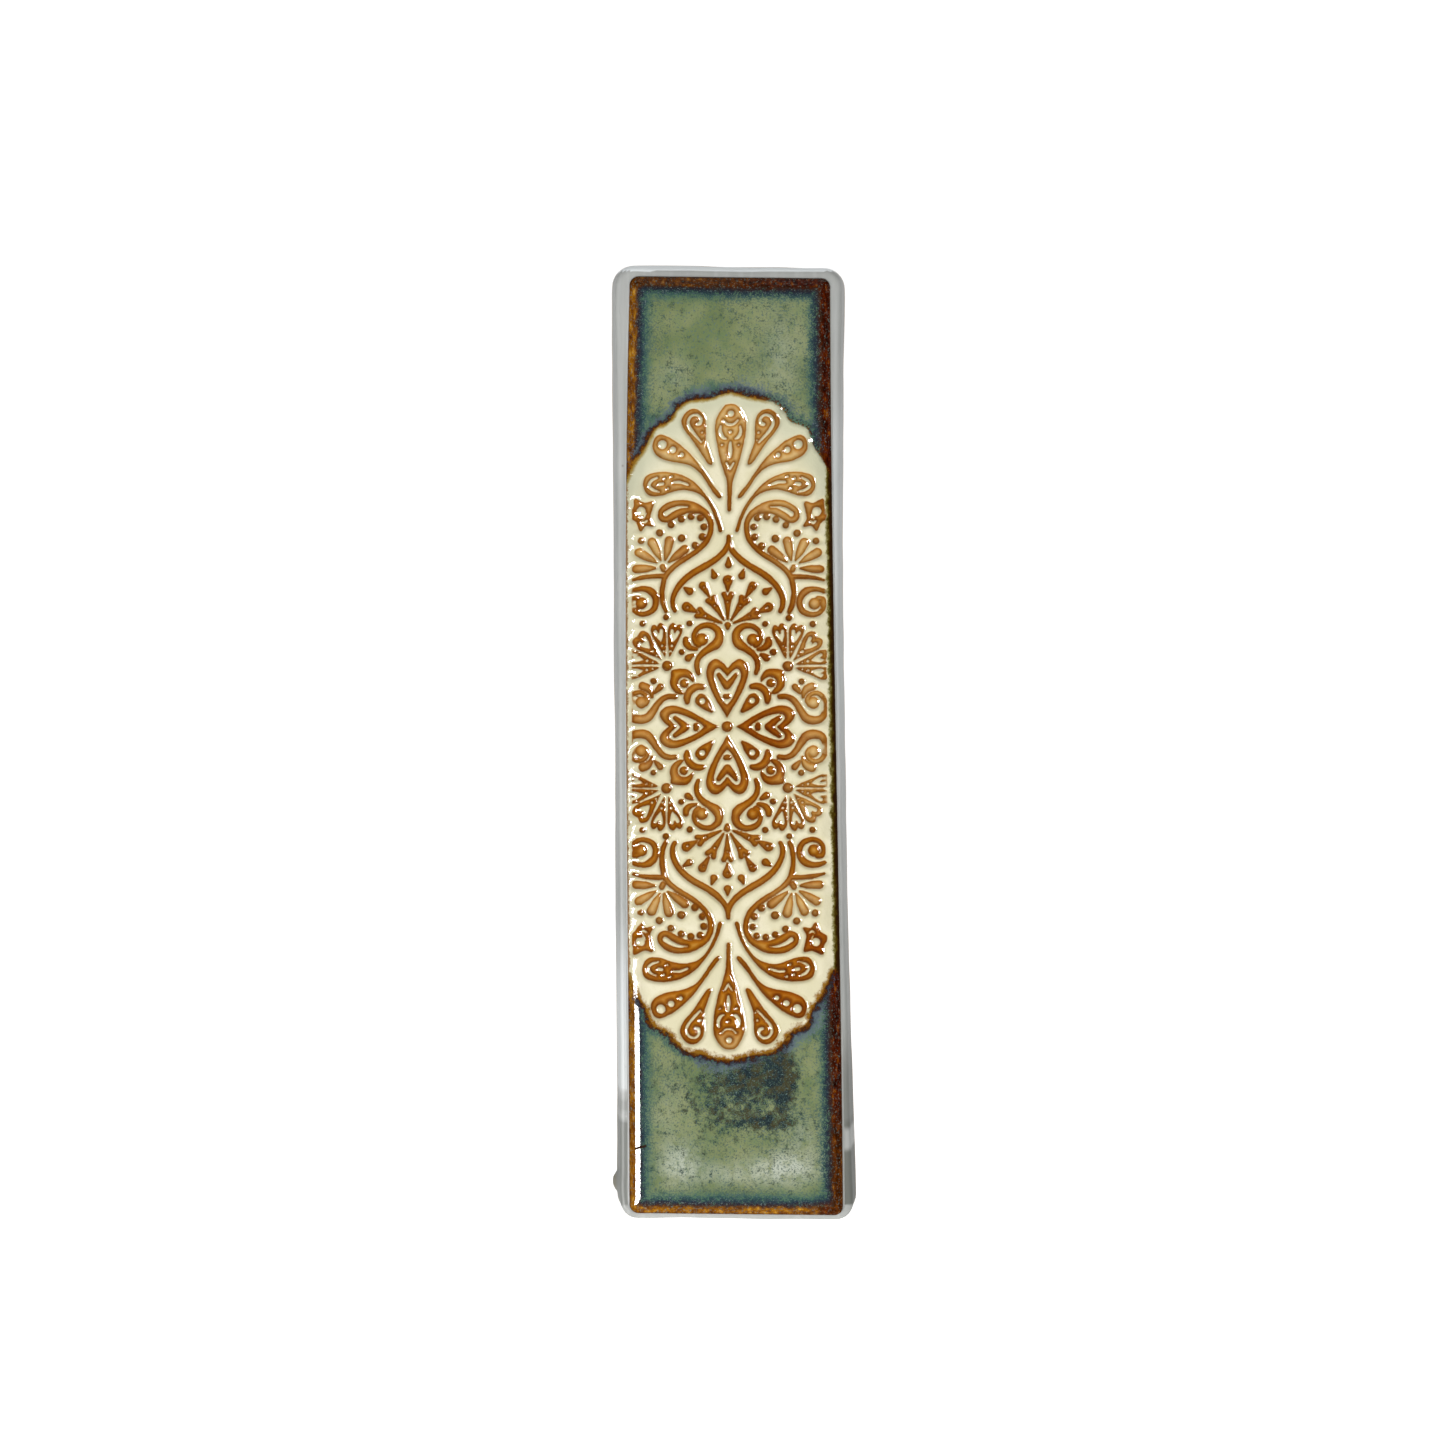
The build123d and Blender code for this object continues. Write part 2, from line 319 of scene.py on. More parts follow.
def shell_fan(o):
    o.dot(*FAN_PIVOT, 0.86, dark=0.7)
    for high, low in zip(FAN_RIBS, FAN_RIBS[1:]):
        middle, spread = (high + low) / 2, math.radians((high - low) / 2)
        wide = 6.0 * math.tan(spread) - 0.2
        leaf = [(1.5, 0.0), (2.4, 0.3), (4.2, 0.62 * wide), (6.1, wide), (7.1, 0.9 * wide),
                (7.6, 0.55 * wide), (7.35, 0.2), (6.9, 0.0)]
        half = curve(leaf)
        loop = np.vstack([half, (half * [1, -1])[::-1]])
        o.add(np.array(radial(FAN_PIVOT, middle, loop.tolist())), area_distance, False)
        lobe = 0.42 * wide
        for side in (-1, 1):
            arm = [(6.25, side * lobe, 0.36), (5.4, side * 0.6 * lobe, 0.34), (4.4, 0.0, 0.16)]
            o.stroke(*radial(FAN_PIVOT, middle, arm), raised=True)
        o.stroke(*radial(FAN_PIVOT, middle, [(5.6, 0.0, 0.4), (4.6, 0.0, 0.24)]), raised=True)
        for along, radius in ((3.65, 0.27), (2.65, 0.22)):
            (x, z), = radial(FAN_PIVOT, middle, [(along, 0.0)])
            o.dot(x, z, radius, raised=True)
    for x, z in ((10.9, 19.4), (15.1, 18.3), (6.7, 18.35)):
        o.dot(x, z, 0.5)


def centre_scroll(o):
    o.stroke((5.15, 9.5, 0.32), (5.45, 10.6, 0.4), (5.3, 11.9, 0.42), (4.5, 13.0, 0.5), (3.25, 13.9, 0.62),
             (2.0, 14.75, 0.85), (1.5, 15.8, 0.74), (1.65, 16.9, 0.6), (2.5, 17.75, 0.5), (3.6, 18.05, 0.46),
             (4.8, 17.75, 0.44), (5.65, 16.95, 0.4), (5.95, 15.9, 0.36), (5.7, 15.0, 0.38), (5.1, 14.6, 0.5))
    o.dot(4.55, 15.5, 1.04, dark=0.0)
    o.stroke((7.35, 15.5, 0.5), (7.25, 14.7, 0.58), (6.55, 14.05, 0.46), (5.5, 13.75, 0.24))
    o.stroke((7.0, 12.25, 0.6), (6.5, 12.6, 0.42), (6.0, 12.85, 0.2))
    o.dot(8.15, 13.3, 0.5)


PALMETTE_PIVOT = (0.0, 17.95)


def small_palmette(o):
    o.stroke((0, 18.0, 0.56), (0.0, 17.5, 0.3))
    for angle in (90, 58, 24):
        blade = [(1.2, 0.0, 0.14), (3.0, 0.0, 0.36), (4.7, 0.0, 0.66)]
        o.stroke(*radial(PALMETTE_PIVOT, angle, blade))
        for side in (-1, 1):
            tip = [(4.9, side * 0.3, 0.42), (5.65, side * 0.62, 0.44)]
            o.stroke(*radial(PALMETTE_PIVOT, angle, tip))
        (x, z), = radial(PALMETTE_PIVOT, angle, [(4.25, 0.0)])
        o.dot(x, z, 0.2, raised=True)
    o.stroke((0, 24.2, 0.14), (0, 25.2, 0.45), (0, 26.1, 0.86))
    o.dot(0, 26.1, 0.2, raised=True)
    o.stroke((3.15, 22.95, 0.14), (3.85, 24.1, 0.42), (4.45, 25.1, 0.72))
    o.dot(4.25, 24.8, 0.18, raised=True)
    o.stroke((5.35, 20.35, 0.14), (6.3, 20.8, 0.5), (7.25, 21.3, 0.84))
    o.dot(7.1, 21.2, 0.22, raised=True)
    o.stroke((0, 30.1, 0.16), (0, 28.85, 0.62))
    o.stroke((2.85, 28.0, 0.16), (2.45, 26.9, 0.62))
    o.stroke((7.7, 24.65, 0.2), (6.8, 24.1, 0.64))


def ogee(o):
    o.stroke((0, 33.9, 0.34), (0.1, 32.6, 0.4), (0.75, 31.3, 0.45), (2.15, 29.9, 0.5), (3.95, 28.65, 0.54),
             (5.95, 27.5, 0.54), (7.65, 26.2, 0.5), (8.95, 24.6, 0.45), (9.7, 22.9, 0.41), (9.72, 21.5, 0.38),
             (9.35, 20.6, 0.32))
    o.stroke((10.95, 20.5, 0.34), (11.45, 21.8, 0.4), (11.65, 23.5, 0.4), (11.5, 25.2, 0.42),
             (11.1, 26.8, 0.45), (10.0, 28.2, 0.43), (8.3, 29.5, 0.43), (6.4, 30.7, 0.42), (4.9, 31.9, 0.42),
             (3.8, 33.2, 0.44), (3.2, 34.8, 0.44), (3.25, 36.4, 0.46), (4.1, 37.9, 0.52), (5.5, 38.8, 0.62))
    o.area([(4.4, 38.3), (5.6, 39.6), (7.6, 40.2), (9.7, 40.2), (11.4, 39.5), (12.4, 38.4), (12.5, 37.3),
            (12.0, 36.6), (11.1, 36.35), (10.0, 36.75), (8.6, 37.5), (7.1, 38.05), (5.6, 37.9)])
    o.stroke((7.4, 39.05, 0.16), (8.8, 39.0, 0.27), (10.2, 38.5, 0.42), (11.2, 37.85, 0.5), raised=True)
    for x, z, radius in ((5.05, 37.1, 0.56), (6.7, 37.35, 0.58), (8.4, 36.9, 0.58), (10.2, 35.9, 0.55),
                         (12.2, 34.5, 0.58), (4.4, 35.5, 0.56), (4.65, 33.75, 0.58), (5.95, 32.2, 0.6),
                         (8.35, 33.5, 0.64), (15.5, 33.1, 0.54)):
        o.dot(x, z, radius)


def flower_fan(o):
    o.stroke((11.45, 27.95, 0.46), (11.7, 28.5, 0.46))
    for tip, end in (((12.9, 28.25, 0.18), (16.3, 28.1, 0.72)), ((12.75, 29.25, 0.16), (15.8, 31.05, 0.78)),
                     ((12.05, 29.7, 0.16), (13.55, 32.8, 0.78)), ((11.25, 29.7, 0.16), (10.5, 33.1, 0.78)),
                     ((10.6, 29.35, 0.16), (7.75, 31.55, 0.74))):
        middle = tuple((a + b) / 2 for a, b in zip(tip, end))[:2] + (0.62,)
        o.stroke(tip, middle, end)
    o.stroke((11.2, 26.75, 0.42), (12.8, 26.75, 0.4), (15.0, 26.6, 0.34), (17.2, 26.1, 0.2))


def side_spiral(o):
    o.stroke((17.3, 24.1, 0.3), (16.2, 24.45, 0.38), (14.8, 24.5, 0.48), (13.6, 24.0, 0.6),
             (12.85, 23.0, 0.54), (12.75, 21.7, 0.5), (13.35, 20.6, 0.46), (14.6, 20.05, 0.42),
             (15.9, 20.15, 0.4), (16.8, 20.9, 0.38), (17.1, 21.9, 0.36), (16.8, 22.8, 0.42),
             (16.0, 22.9, 0.42))
    o.dot(15.35, 21.95, 1.02, dark=0.0)


def star_flower(o):
    o.area([(13.45, 39.9), (15.0, 39.75), (16.8, 40.5), (16.95, 38.9), (17.9, 37.4), (16.4, 36.4),
            (15.6, 34.8), (14.7, 35.8), (13.35, 35.7), (13.95, 37.2)], steps=4)
    o.dot(15.6, 38.25, 0.85, raised=True)
    o.stroke((14.5, 36.6, 0.24), (15.0, 36.3, 0.28), (15.4, 36.6, 0.2), raised=True)
    o.stroke((14.75, 37.9, 0.2), (15.1, 37.1, 0.24), raised=True)


def big_palmette(o):
    o.mirrored_area([(0, 57.4), (1.0, 57.15), (2.0, 55.9), (2.6, 54.6), (2.75, 53.2), (2.55, 51.4),
                     (2.1, 49.2), (1.6, 47.2), (0.95, 45.2), (0.45, 43.4), (0.3, 41.0), (0.28, 38.7),
                     (0, 38.3)])
    o.dot(0, 55.7, 0.6, raised=True)
    o.stroke((0, 53.72, 0.27), (0.65, 53.85, 0.25), (1.3, 54.5, 0.2), raised=True)
    o.dot(0.0, 52.4, 0.28, raised=True)
    o.stroke((1.75, 53.4, 0.22), (1.85, 52.4, 0.36), (1.4, 51.5, 0.36), (0.8, 51.2, 0.2), raised=True)
    o.dot(1.45, 50.1, 0.25, raised=True)
    o.stroke((0, 50.6, 0.22), (0, 49.1, 0.46), (0, 47.9, 0.26), raised=True)
    o.stroke((0.65, 46.9, 0.2), (0, 45.8, 0.22), raised=True)
    # the petals beside it, each with a raised curl
    o.area([(4.5, 54.0), (4.85, 55.3), (5.75, 56.2), (6.9, 56.4), (7.9, 55.8), (8.6, 54.7), (8.6, 53.6),
            (7.9, 52.3), (6.8, 51.0), (5.75, 49.6), (4.75, 48.1), (3.8, 46.8), (3.15, 46.8), (3.7, 48.6),
            (4.3, 50.4), (4.45, 52.2)])
    o.stroke((5.1, 50.5, 0.2), (6.2, 51.7, 0.28), (7.25, 53.0, 0.32), (7.6, 54.1, 0.32), (7.1, 55.1, 0.32),
             (6.1, 55.35, 0.32), (5.35, 54.7, 0.32), (5.45, 53.9, 0.4), (5.95, 53.7, 0.36), raised=True)
    o.dot(5.05, 52.25, 0.26, raised=True)
    o.dot(4.75, 50.9, 0.18, raised=True)
    # the petals with three beads
    o.area([(13.75, 50.2), (13.3, 51.4), (12.3, 51.85), (11.0, 51.4), (9.6, 50.6), (8.1, 49.4), (6.7, 48.1),
            (5.5, 46.6), (4.3, 44.9), (3.1, 43.1), (2.1, 41.9), (1.55, 41.1), (1.75, 40.75), (2.4, 41.2),
            (3.4, 42.5), (4.5, 44.2), (5.5, 45.4), (6.7, 46.25), (8.2, 46.8), (9.9, 47.1), (11.5, 47.5),
            (12.9, 48.2), (13.6, 49.1)])
    for x, z, radius in ((12.1, 50.2, 0.86), (10.2, 49.25, 0.64), (8.55, 48.3, 0.46)):
        o.dot(x, z, radius, raised=True)
    # the lowest leaves
    o.area([(15.3, 43.1), (14.8, 44.5), (13.4, 45.15), (11.4, 45.3), (9.4, 45.0), (7.4, 44.2), (5.9, 43.1),
            (4.6, 41.7), (3.4, 40.1), (2.4, 38.4), (1.7, 36.6), (1.2, 34.9), (1.75, 34.8), (2.15, 36.4),
            (2.85, 38.2), (3.8, 39.9), (4.9, 41.1), (6.4, 41.9), (8.4, 42.15), (10.3, 41.75), (12.2, 41.1),
            (13.9, 41.0), (14.9, 41.7)])
    o.stroke((7.4, 43.0, 0.26), (8.7, 43.45, 0.3), (9.9, 43.45, 0.26), raised=True)
    o.stroke((12.9, 44.25, 0.22), (13.9, 43.7, 0.3), (14.3, 42.8, 0.3), (13.6, 42.1, 0.28),
             (12.5, 41.75, 0.2), raised=True)
    o.stroke((12.5, 43.05, 0.36), (11.9, 43.15, 0.34), raised=True)
    for x, z, radius in ((10.35, 44.45, 0.26), (11.6, 44.1, 0.28), (10.95, 42.3, 0.3)):
        o.dot(x, z, radius, raised=True)


PANEL_BORDER = [(0, 59.3), (2.0, 58.9), (4.0, 58.35), (6.0, 58.05), (7.6, 57.7), (8.8, 56.9), (9.8, 55.8),
                (10.4, 54.7), (11.3, 54.0), (12.6, 53.4), (13.7, 52.6), (14.3, 51.4), (14.8, 50.1),
                (15.4, 49.1), (16.2, 48.1), (16.9, 46.9), (17.6, 45.3), (18.6, 43.0), (21.0, 40.0),
                (22.0, 0.0)]


PANEL_REACH = 9.0  # distances from the border are worked out up to this


def axis_lean(z):
    """The ornament's middle line bows a little to the right towards both ends."""
    return np.where(z > 0, 0.0002, 0.00012) * z * z


def fold(px, pz):
    """Pattern coordinates folded into one quadrant, a little wavering as hand-pressed clay is."""
    wander = 0.09 * lumps(px, pz, 6.0, 11)
    rise = 0.09 * lumps(px, pz, 6.0, 12)
    return np.abs(px - axis_lean(pz) + wander), np.abs(pz + rise)


def stamped(px, pz):
    """Distance to the nearest stamped edge, negative in a recess, and how much of a small pit a point is."""
    o = Ornament(*fold(px, pz))
    for part in (hearts, centre_flower, side_scroll, shell_fan, centre_scroll, small_palmette, ogee,
                 flower_fan, side_spiral, star_flower, big_palmette):
        part(o)
    field = o.field + 0.05 * lumps(px, pz, 2.2, 13)
    return np.maximum(field, np.maximum(STAMP_LEFT - px, px - STAMP_RIGHT)), o.pit


def panel_distance(px, pz):
    """Distance inwards from the cream panel's scalloped border, negative outside it."""
    x, z = np.abs(px - axis_lean(pz)), np.abs(pz)
    border = curve(PANEL_BORDER, steps=5)
    loop = np.vstack([border, (border * [1, -1])[::-1], border * [-1, -1], (border * [-1, 1])[::-1]])
    best = np.full(x.shape, PANEL_REACH)
    for a, b in zip(border, border[1:]):
        best = np.minimum(best, to_segment(x, z, a, b)[0])
    inside = area_distance(x, z, loop) < 0
    ragged = 0.1 * lumps(px, pz, 1.1, 14) + 0.16 * lumps(px, pz, 2.8, 15)
    return np.where(inside, best, -best) + ragged


# ---------------------------------------------------------------- meshes

def add_piece(name, points, faces, body, slot, materials, sharp=None):
    """A new piece from x, z, height points in millimetres. It rides on a body and takes the given materials;
    its slot argument is not used.
    """
    x, z, height = np.array(points, float).T
    mesh = bpy.data.meshes.new(name)
    mesh.from_pydata((np.stack([x, -height, z], 1) * MM).tolist(), [], faces)
    mesh.validate()
    shape = bmesh.new()
    shape.from_mesh(mesh)
    bmesh.ops.recalc_face_normals(shape, faces=shape.faces[:])
    shape.to_mesh(mesh)
    shape.free()
    mesh.polygons.foreach_set("use_smooth", [True] * len(mesh.polygons))
    if sharp:
        mesh.set_sharp_from_angle(angle=math.radians(sharp))
    for material in materials:
        mesh.materials.append(material)
    piece = bpy.data.objects.new(name, mesh)
    bpy.context.scene.collection.objects.link(piece)
    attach(piece, body)
    return piece


def set_values(piece, name, values):
    """Stores one number a vertex, for the material to read."""
    layer = piece.data.attributes.new(name, "FLOAT", "POINT")
    layer.data.foreach_set("value", np.asarray(values, np.float32))


def ring_faces(rings, count, wrap=False):
    """Quads between rings of count points each, laid one after another."""
    faces = []
    pairs = [(r, r + 1) for r in range(rings - 1)] + ([(rings - 1, 0)] if wrap else [])
    for a, b in pairs:
        for i in range(count):
            j = (i + 1) % count
            faces.append((a * count + i, a * count + j, b * count + j, b * count + i))
    return faces


def grid_faces(rows, columns):
    """Quads between the points of a grid, laid row after row."""
    corners = [i * columns + j for i in range(rows - 1) for j in range(columns - 1)]
    return [(a, a + 1, a + columns + 1, a + columns) for a in corners]


def grid_border(rows, columns):
    """The points round a grid: along its first row, up, back along its last row and down."""
    border = list(range(columns)) + [i * columns + columns - 1 for i in range(1, rows)]
    border += [(rows - 1) * columns + j for j in range(columns - 2, -1, -1)]
    return border + [i * columns for i in range(rows - 2, 0, -1)]


def sheet_faces(rows, columns):
    """A thin sheet's faces: one grid of points, a second one behind it, and the edge between them."""
    faces = grid_faces(rows, columns)
    total = rows * columns
    faces += [tuple(total + i for i in face[::-1]) for face in faces]
    border = grid_border(rows, columns)
    return faces + [(a, total + a, total + b, b) for a, b in zip(border, border[1:] + border[:1])]


# ---------------------------------------------------------------- node materials

def tone(red, green, blue):
    """A colour as seen on screen, from 0 to 255, as the renderer's own numbers."""
    def linear(c):
        c = c / 255
        return c / 12.92 if c <= 0.04045 else ((c + 0.055) / 1.055) ** 2.4
    return (linear(red), linear(green), linear(blue), 1.0)


class Shader:
    """One node material round a Principled shader. Each method adds nodes and returns their output."""

    def __init__(self, name, roughness=0.5, ior=1.5, **sockets):
        self.material = bpy.data.materials.new(name)
        self.material.use_nodes = True
        self.tree = self.material.node_tree
        self.surface = self.tree.nodes["Principled BSDF"]
        self.surface.inputs["Roughness"].default_value = roughness
        self.surface.inputs["IOR"].default_value = ior
        for socket, value in sockets.items():
            self.surface.inputs[socket.replace("_", " ")].default_value = value
        self.place = self.node("ShaderNodeTexCoord").outputs["Object"]

    def node(self, kind, **settings):
        made = self.tree.nodes.new(kind)
        for key, value in settings.items():
            setattr(made, key, value)
        return made

    def feed(self, socket, value):
        if isinstance(value, bpy.types.NodeSocket):
            self.tree.links.new(value, socket)
        else:
            socket.default_value = value

    def value(self, attribute):
        return self.node("ShaderNodeAttribute", attribute_name=attribute).outputs["Fac"]

    def noise(self, scale, detail=2.0, roughness=0.5, distortion=0.0, stretch=None):
        made = self.node("ShaderNodeTexNoise")
        place = self.place
        if stretch:
            mapped = self.node("ShaderNodeMapping")
            self.feed(mapped.inputs["Vector"], self.place)
            mapped.inputs["Scale"].default_value = stretch
            place = mapped.outputs["Vector"]
        self.feed(made.inputs["Vector"], place)
        made.inputs["Scale"].default_value = scale
        made.inputs["Detail"].default_value = detail
        made.inputs["Roughness"].default_value = roughness
        made.inputs["Distortion"].default_value = distortion
        return made.outputs["Fac"]

    def cells(self, scale):
        made = self.node("ShaderNodeTexVoronoi", feature="F1")
        self.feed(made.inputs["Vector"], self.place)
        made.inputs["Scale"].default_value = scale
        return made.outputs["Distance"]

    def maths(self, operation, a, b=0.0):
        made = self.node("ShaderNodeMath", operation=operation)
        self.feed(made.inputs[0], a)
        self.feed(made.inputs[1], b)
        return made.outputs["Value"]

    def times(self, a, b):
        return self.maths("MULTIPLY", a, b)

    def ragged(self, value, noise, amount):
        """A value pushed up and down by a noise, by up to half the amount either way."""
        return self.maths("ADD", value, self.times(self.maths("SUBTRACT", noise, 0.5), amount))

    def axes(self):
        """The x and z of the place, in metres."""
        split = self.node("ShaderNodeSeparateXYZ")
        self.feed(split.inputs[0], self.place)
        return split.outputs["X"], split.outputs["Z"]

    def span(self, value, low, high, first=0.0, last=1.0):
        """Maps low..high smoothly to first..last."""
        made = self.node("ShaderNodeMapRange", interpolation_type="SMOOTHSTEP")
        self.feed(made.inputs["Value"], value)
        for socket, number in (("From Min", low), ("From Max", high), ("To Min", first), ("To Max", last)):
            self.feed(made.inputs[socket], number)
        return made.outputs["Result"]

    def ramp(self, value, low, high, *stops):
        """A colour ramp over low..high. Each stop is (place, colour), the place in the value's own unit."""
        scaled = self.node("ShaderNodeMapRange")
        self.feed(scaled.inputs["Value"], value)
        scaled.inputs["From Min"].default_value = low
        scaled.inputs["From Max"].default_value = high
        made = self.node("ShaderNodeValToRGB")
        self.feed(made.inputs["Fac"], scaled.outputs["Result"])
        elements = made.color_ramp.elements
        while len(elements) < len(stops):
            elements.new(0.5)
        for element, (place, colour) in zip(elements, stops):
            element.position = (place - low) / (high - low)
            element.color = tone(*colour)
        return made.outputs["Color"]

    def mix(self, share, a, b, blend="MIX"):
        made = self.node("ShaderNodeMix", data_type="RGBA", blend_type=blend)
        self.feed(made.inputs[0], share)
        self.feed(made.inputs[6], a if isinstance(a, bpy.types.NodeSocket) else tone(*a))
        self.feed(made.inputs[7], b if isinstance(b, bpy.types.NodeSocket) else tone(*b))
        return made.outputs[2]

    def veil(self, under, over, value, low, high, share=1.0):
        """One colour over another where a value goes from low to high."""
        return self.mix(self.span(value, low, high, 0.0, share), under, over)

    def flecks(self, scale, size, cloud, low, high):
        """Small spots, at most one to a cell, where a cloud of noise is dense."""
        spots = self.span(self.cells(scale), 0.0, size, 1.0, 0.0)
        return self.times(spots, self.span(self.noise(cloud, 1), low, high))

    def bump(self, height, distance, strength=1.0, under=None):
        made = self.node("ShaderNodeBump")
        self.feed(made.inputs["Height"], height)
        made.inputs["Distance"].default_value = distance
        made.inputs["Strength"].default_value = strength
        if under is not None:
            self.feed(made.inputs["Normal"], under)
        return made.outputs["Normal"]

    def finish(self, colour=None, roughness=None, normal=None):
        for name, value in (("Base Color", colour), ("Roughness", roughness), ("Normal", normal)):
            if value is not None:
                self.feed(self.surface.inputs[name], value)
        return self.material


def bare_clay(s):
    """Warm buff clay with fine grog and iron specks, and its grain."""
    grain = s.noise(1500, 3)
    colour = s.veil((196, 176, 146), (178, 154, 122), s.noise(90, 4), 0.35, 0.68)
    colour = s.veil(colour, (206, 190, 164), grain, 0.55, 0.72)
    return s.mix(s.flecks(420, 0.16, 300, 0.56, 0.64), colour, (96, 70, 50)), grain


def stoneware():
    """Bare fired clay, with a dry surface."""
    s = Shader("stoneware_clay", ior=1.45)
    colour, grain = bare_clay(s)
    normal = s.bump(s.noise(260, 3), 0.0004, 0.5, s.bump(grain, 0.00012, 0.8))
    return s.finish(colour, s.span(grain, 0.3, 0.7, 0.82, 0.96), normal)


def white_glaze():
    """Satin grey-white glaze with iron specks, thin and buff near the bare back edge."""
    s = Shader("white_glaze", ior=1.4, Specular_IOR_Level=0.25)
    glazed = s.span(s.ragged(s.value("glaze"), s.noise(160, 3), 0.5), 0.37, 0.57)
    white = s.veil((174, 175, 172), (164, 166, 163), s.noise(45, 4), 0.35, 0.65)
    white = s.veil(white, (200, 202, 201), s.noise(700, 3, stretch=(1.0, 1.0, 0.05)), 0.45, 0.7, 0.25)
    # Painted shade where tone is above 0, painted light and reflections where it is below 0
    white = s.veil(white, (112, 114, 108), s.value("tone"), 0.0, 1.0)
    white = s.veil(white, (236, 241, 242), s.value("tone"), 0.0, -1.0)
    white = s.mix(s.flecks(330, 0.13, 140, 0.6, 0.68), white, (96, 76, 60))
    joint = s.times(s.value("joint"), s.span(s.noise(600, 3), 0.35, 0.6, 0.35, 0.8))
    white = s.mix(joint, white, (120, 96, 72))
    white = s.veil(white, (124, 118, 98), s.value("drip"), 0.25, 0.8, 0.8)
    clay, grain = bare_clay(s)
    ripple = s.bump(s.noise(120, 2), 0.0004, 0.25)
    rough = s.times(grain, s.maths("SUBTRACT", 1.0, glazed))
    normal = s.bump(rough, 0.00012, 0.9, ripple)
    return s.finish(s.mix(glazed, clay, white), s.span(glazed, 0.0, 1.0, 0.9, 0.45), normal)


def specked(s, fine, density, share=1.0):
    """How much of a speck each point is: hardly at all where density is 0, wholly where it is 1."""
    return s.span(s.maths("ADD", fine, s.times(density, 0.34)), 0.53, 0.7, 0.0, share)


def green_field(s, fine, depth, away):
    """Grey-green glaze, teal near its edges, where navy specks gather."""
    near_rim = s.span(depth, 1.6, 6.2, 1.0, 0.0)
    near_panel = s.span(away, 0.2, s.span(s.noise(90, 1), 0.35, 0.65, 2.4, 5.0), 1.0, 0.0)
    near = s.maths("MAXIMUM", near_rim, near_panel)
    green = s.veil((107, 120, 79), (132, 139, 98), s.noise(130, 4), 0.36, 0.64)
    green = s.veil(green, (88, 118, 84), s.noise(420, 5, 0.65), 0.42, 0.68, 0.3)
    green = s.veil(green, (62, 102, 88), near, 0.1, 0.9, 0.75)
    pale = s.times(s.value("pale"), s.span(s.noise(500, 5, 0.7), 0.25, 0.6))
    green = s.mix(pale, green, (188, 194, 178))
    drifts = s.span(s.noise(150, 4, 0.6), 0.42, 0.64, 0.0, 0.23)
    specks = specked(s, fine, s.maths("ADD", s.times(near, 0.36), drifts), 0.5)
    green = s.mix(specks, green, (36, 56, 68))
    blotch = s.ragged(s.value("blotch"), s.noise(760, 6, 0.75), 2.6)
    green = s.veil(green, (50, 78, 70), blotch, 0.0, 0.6, 0.78)
    murk = s.veil((18, 28, 42), (64, 54, 30), s.noise(430, 5, 0.7), 0.44, 0.58)
    covered = s.maths("ADD", fine, s.span(blotch, -0.25, 1.0, 0.0, 0.25))
    return s.veil(green, murk, covered, 0.58, 0.68, 0.88)


def breaking_rim(s, edge, depth, fine, green):
    """Glaze breaking over the slab's edge: amber where it ran thin, nearly black where it is thick. The umber
    right edge is partly painted shade, away from the light.
    """
    warm = s.value("warm")
    streak = s.noise(1000, 6, 0.66, stretch=(1.0, 1.0, 0.5))
    amber = s.ramp(streak, 0.3, 0.7, (0.3, (62, 28, 4)), (0.43, (102, 56, 2)), (0.56, (142, 90, 8)),
                   (0.68, (196, 146, 50)))
    umber = s.ramp(streak, 0.3, 0.7, (0.3, (16, 3, 0)), (0.46, (48, 9, 0)), (0.58, (84, 26, 0)),
                   (0.7, (144, 84, 10)))
    # Umber on the right edge: dark glaze, partly painted shade on the side away from the light
    rim = s.mix(warm, umber, amber)
    rim = s.mix(s.span(edge, 0.0, 0.4, 0.75, 0.0), rim, (62, 34, 16))
    reach = s.maths("SUBTRACT", depth, s.span(warm, 0.0, 1.0, 1.8, 1.35))
    dusk = s.ramp(reach, -0.2, 2.8, (-0.2, (74, 40, 12)), (0.35, (50, 34, 34)), (0.9, (34, 42, 54)),
                  (1.8, (40, 68, 72)), (2.8, (58, 96, 90)))
    patchy = s.span(s.noise(600, 5, 0.7), 0.34, 0.6, 0.5, 1.0)
    shade = s.times(s.span(reach, 0.0, 3.2, 1.0, 0.0), patchy)
    field = s.mix(specked(s, fine, shade), green, dusk)
    return s.veil(rim, field, reach, -0.45, 0.4)


def panel_halo(s, fine, edge, away, field):
    """The dark line round the panel: red-brown, then navy specks. It is faint at the upper right."""
    halo = s.ramp(away, -0.4, 3.0, (-0.4, (140, 100, 30)), (0.1, (92, 50, 6)), (0.5, (52, 26, 12)),
                  (0.8, (48, 52, 62)), (1.5, (88, 100, 108)), (3.0, (104, 122, 116)))
    gather = s.span(s.noise(110, 2), 0.4, 0.6, 1.6, 4.0)
    density = s.times(s.span(away, 0.0, gather, 1.0, 0.0), s.span(edge, 0.8, 1.6, 0.25, 1.0))
    density = s.times(density, s.span(s.noise(190, 2), 0.36, 0.58, 0.75, 1.0))
    density = s.times(density, s.span(s.value("faint"), 0.0, 1.0, 1.0, 0.34))
    return s.mix(specked(s, fine, density), field, halo)


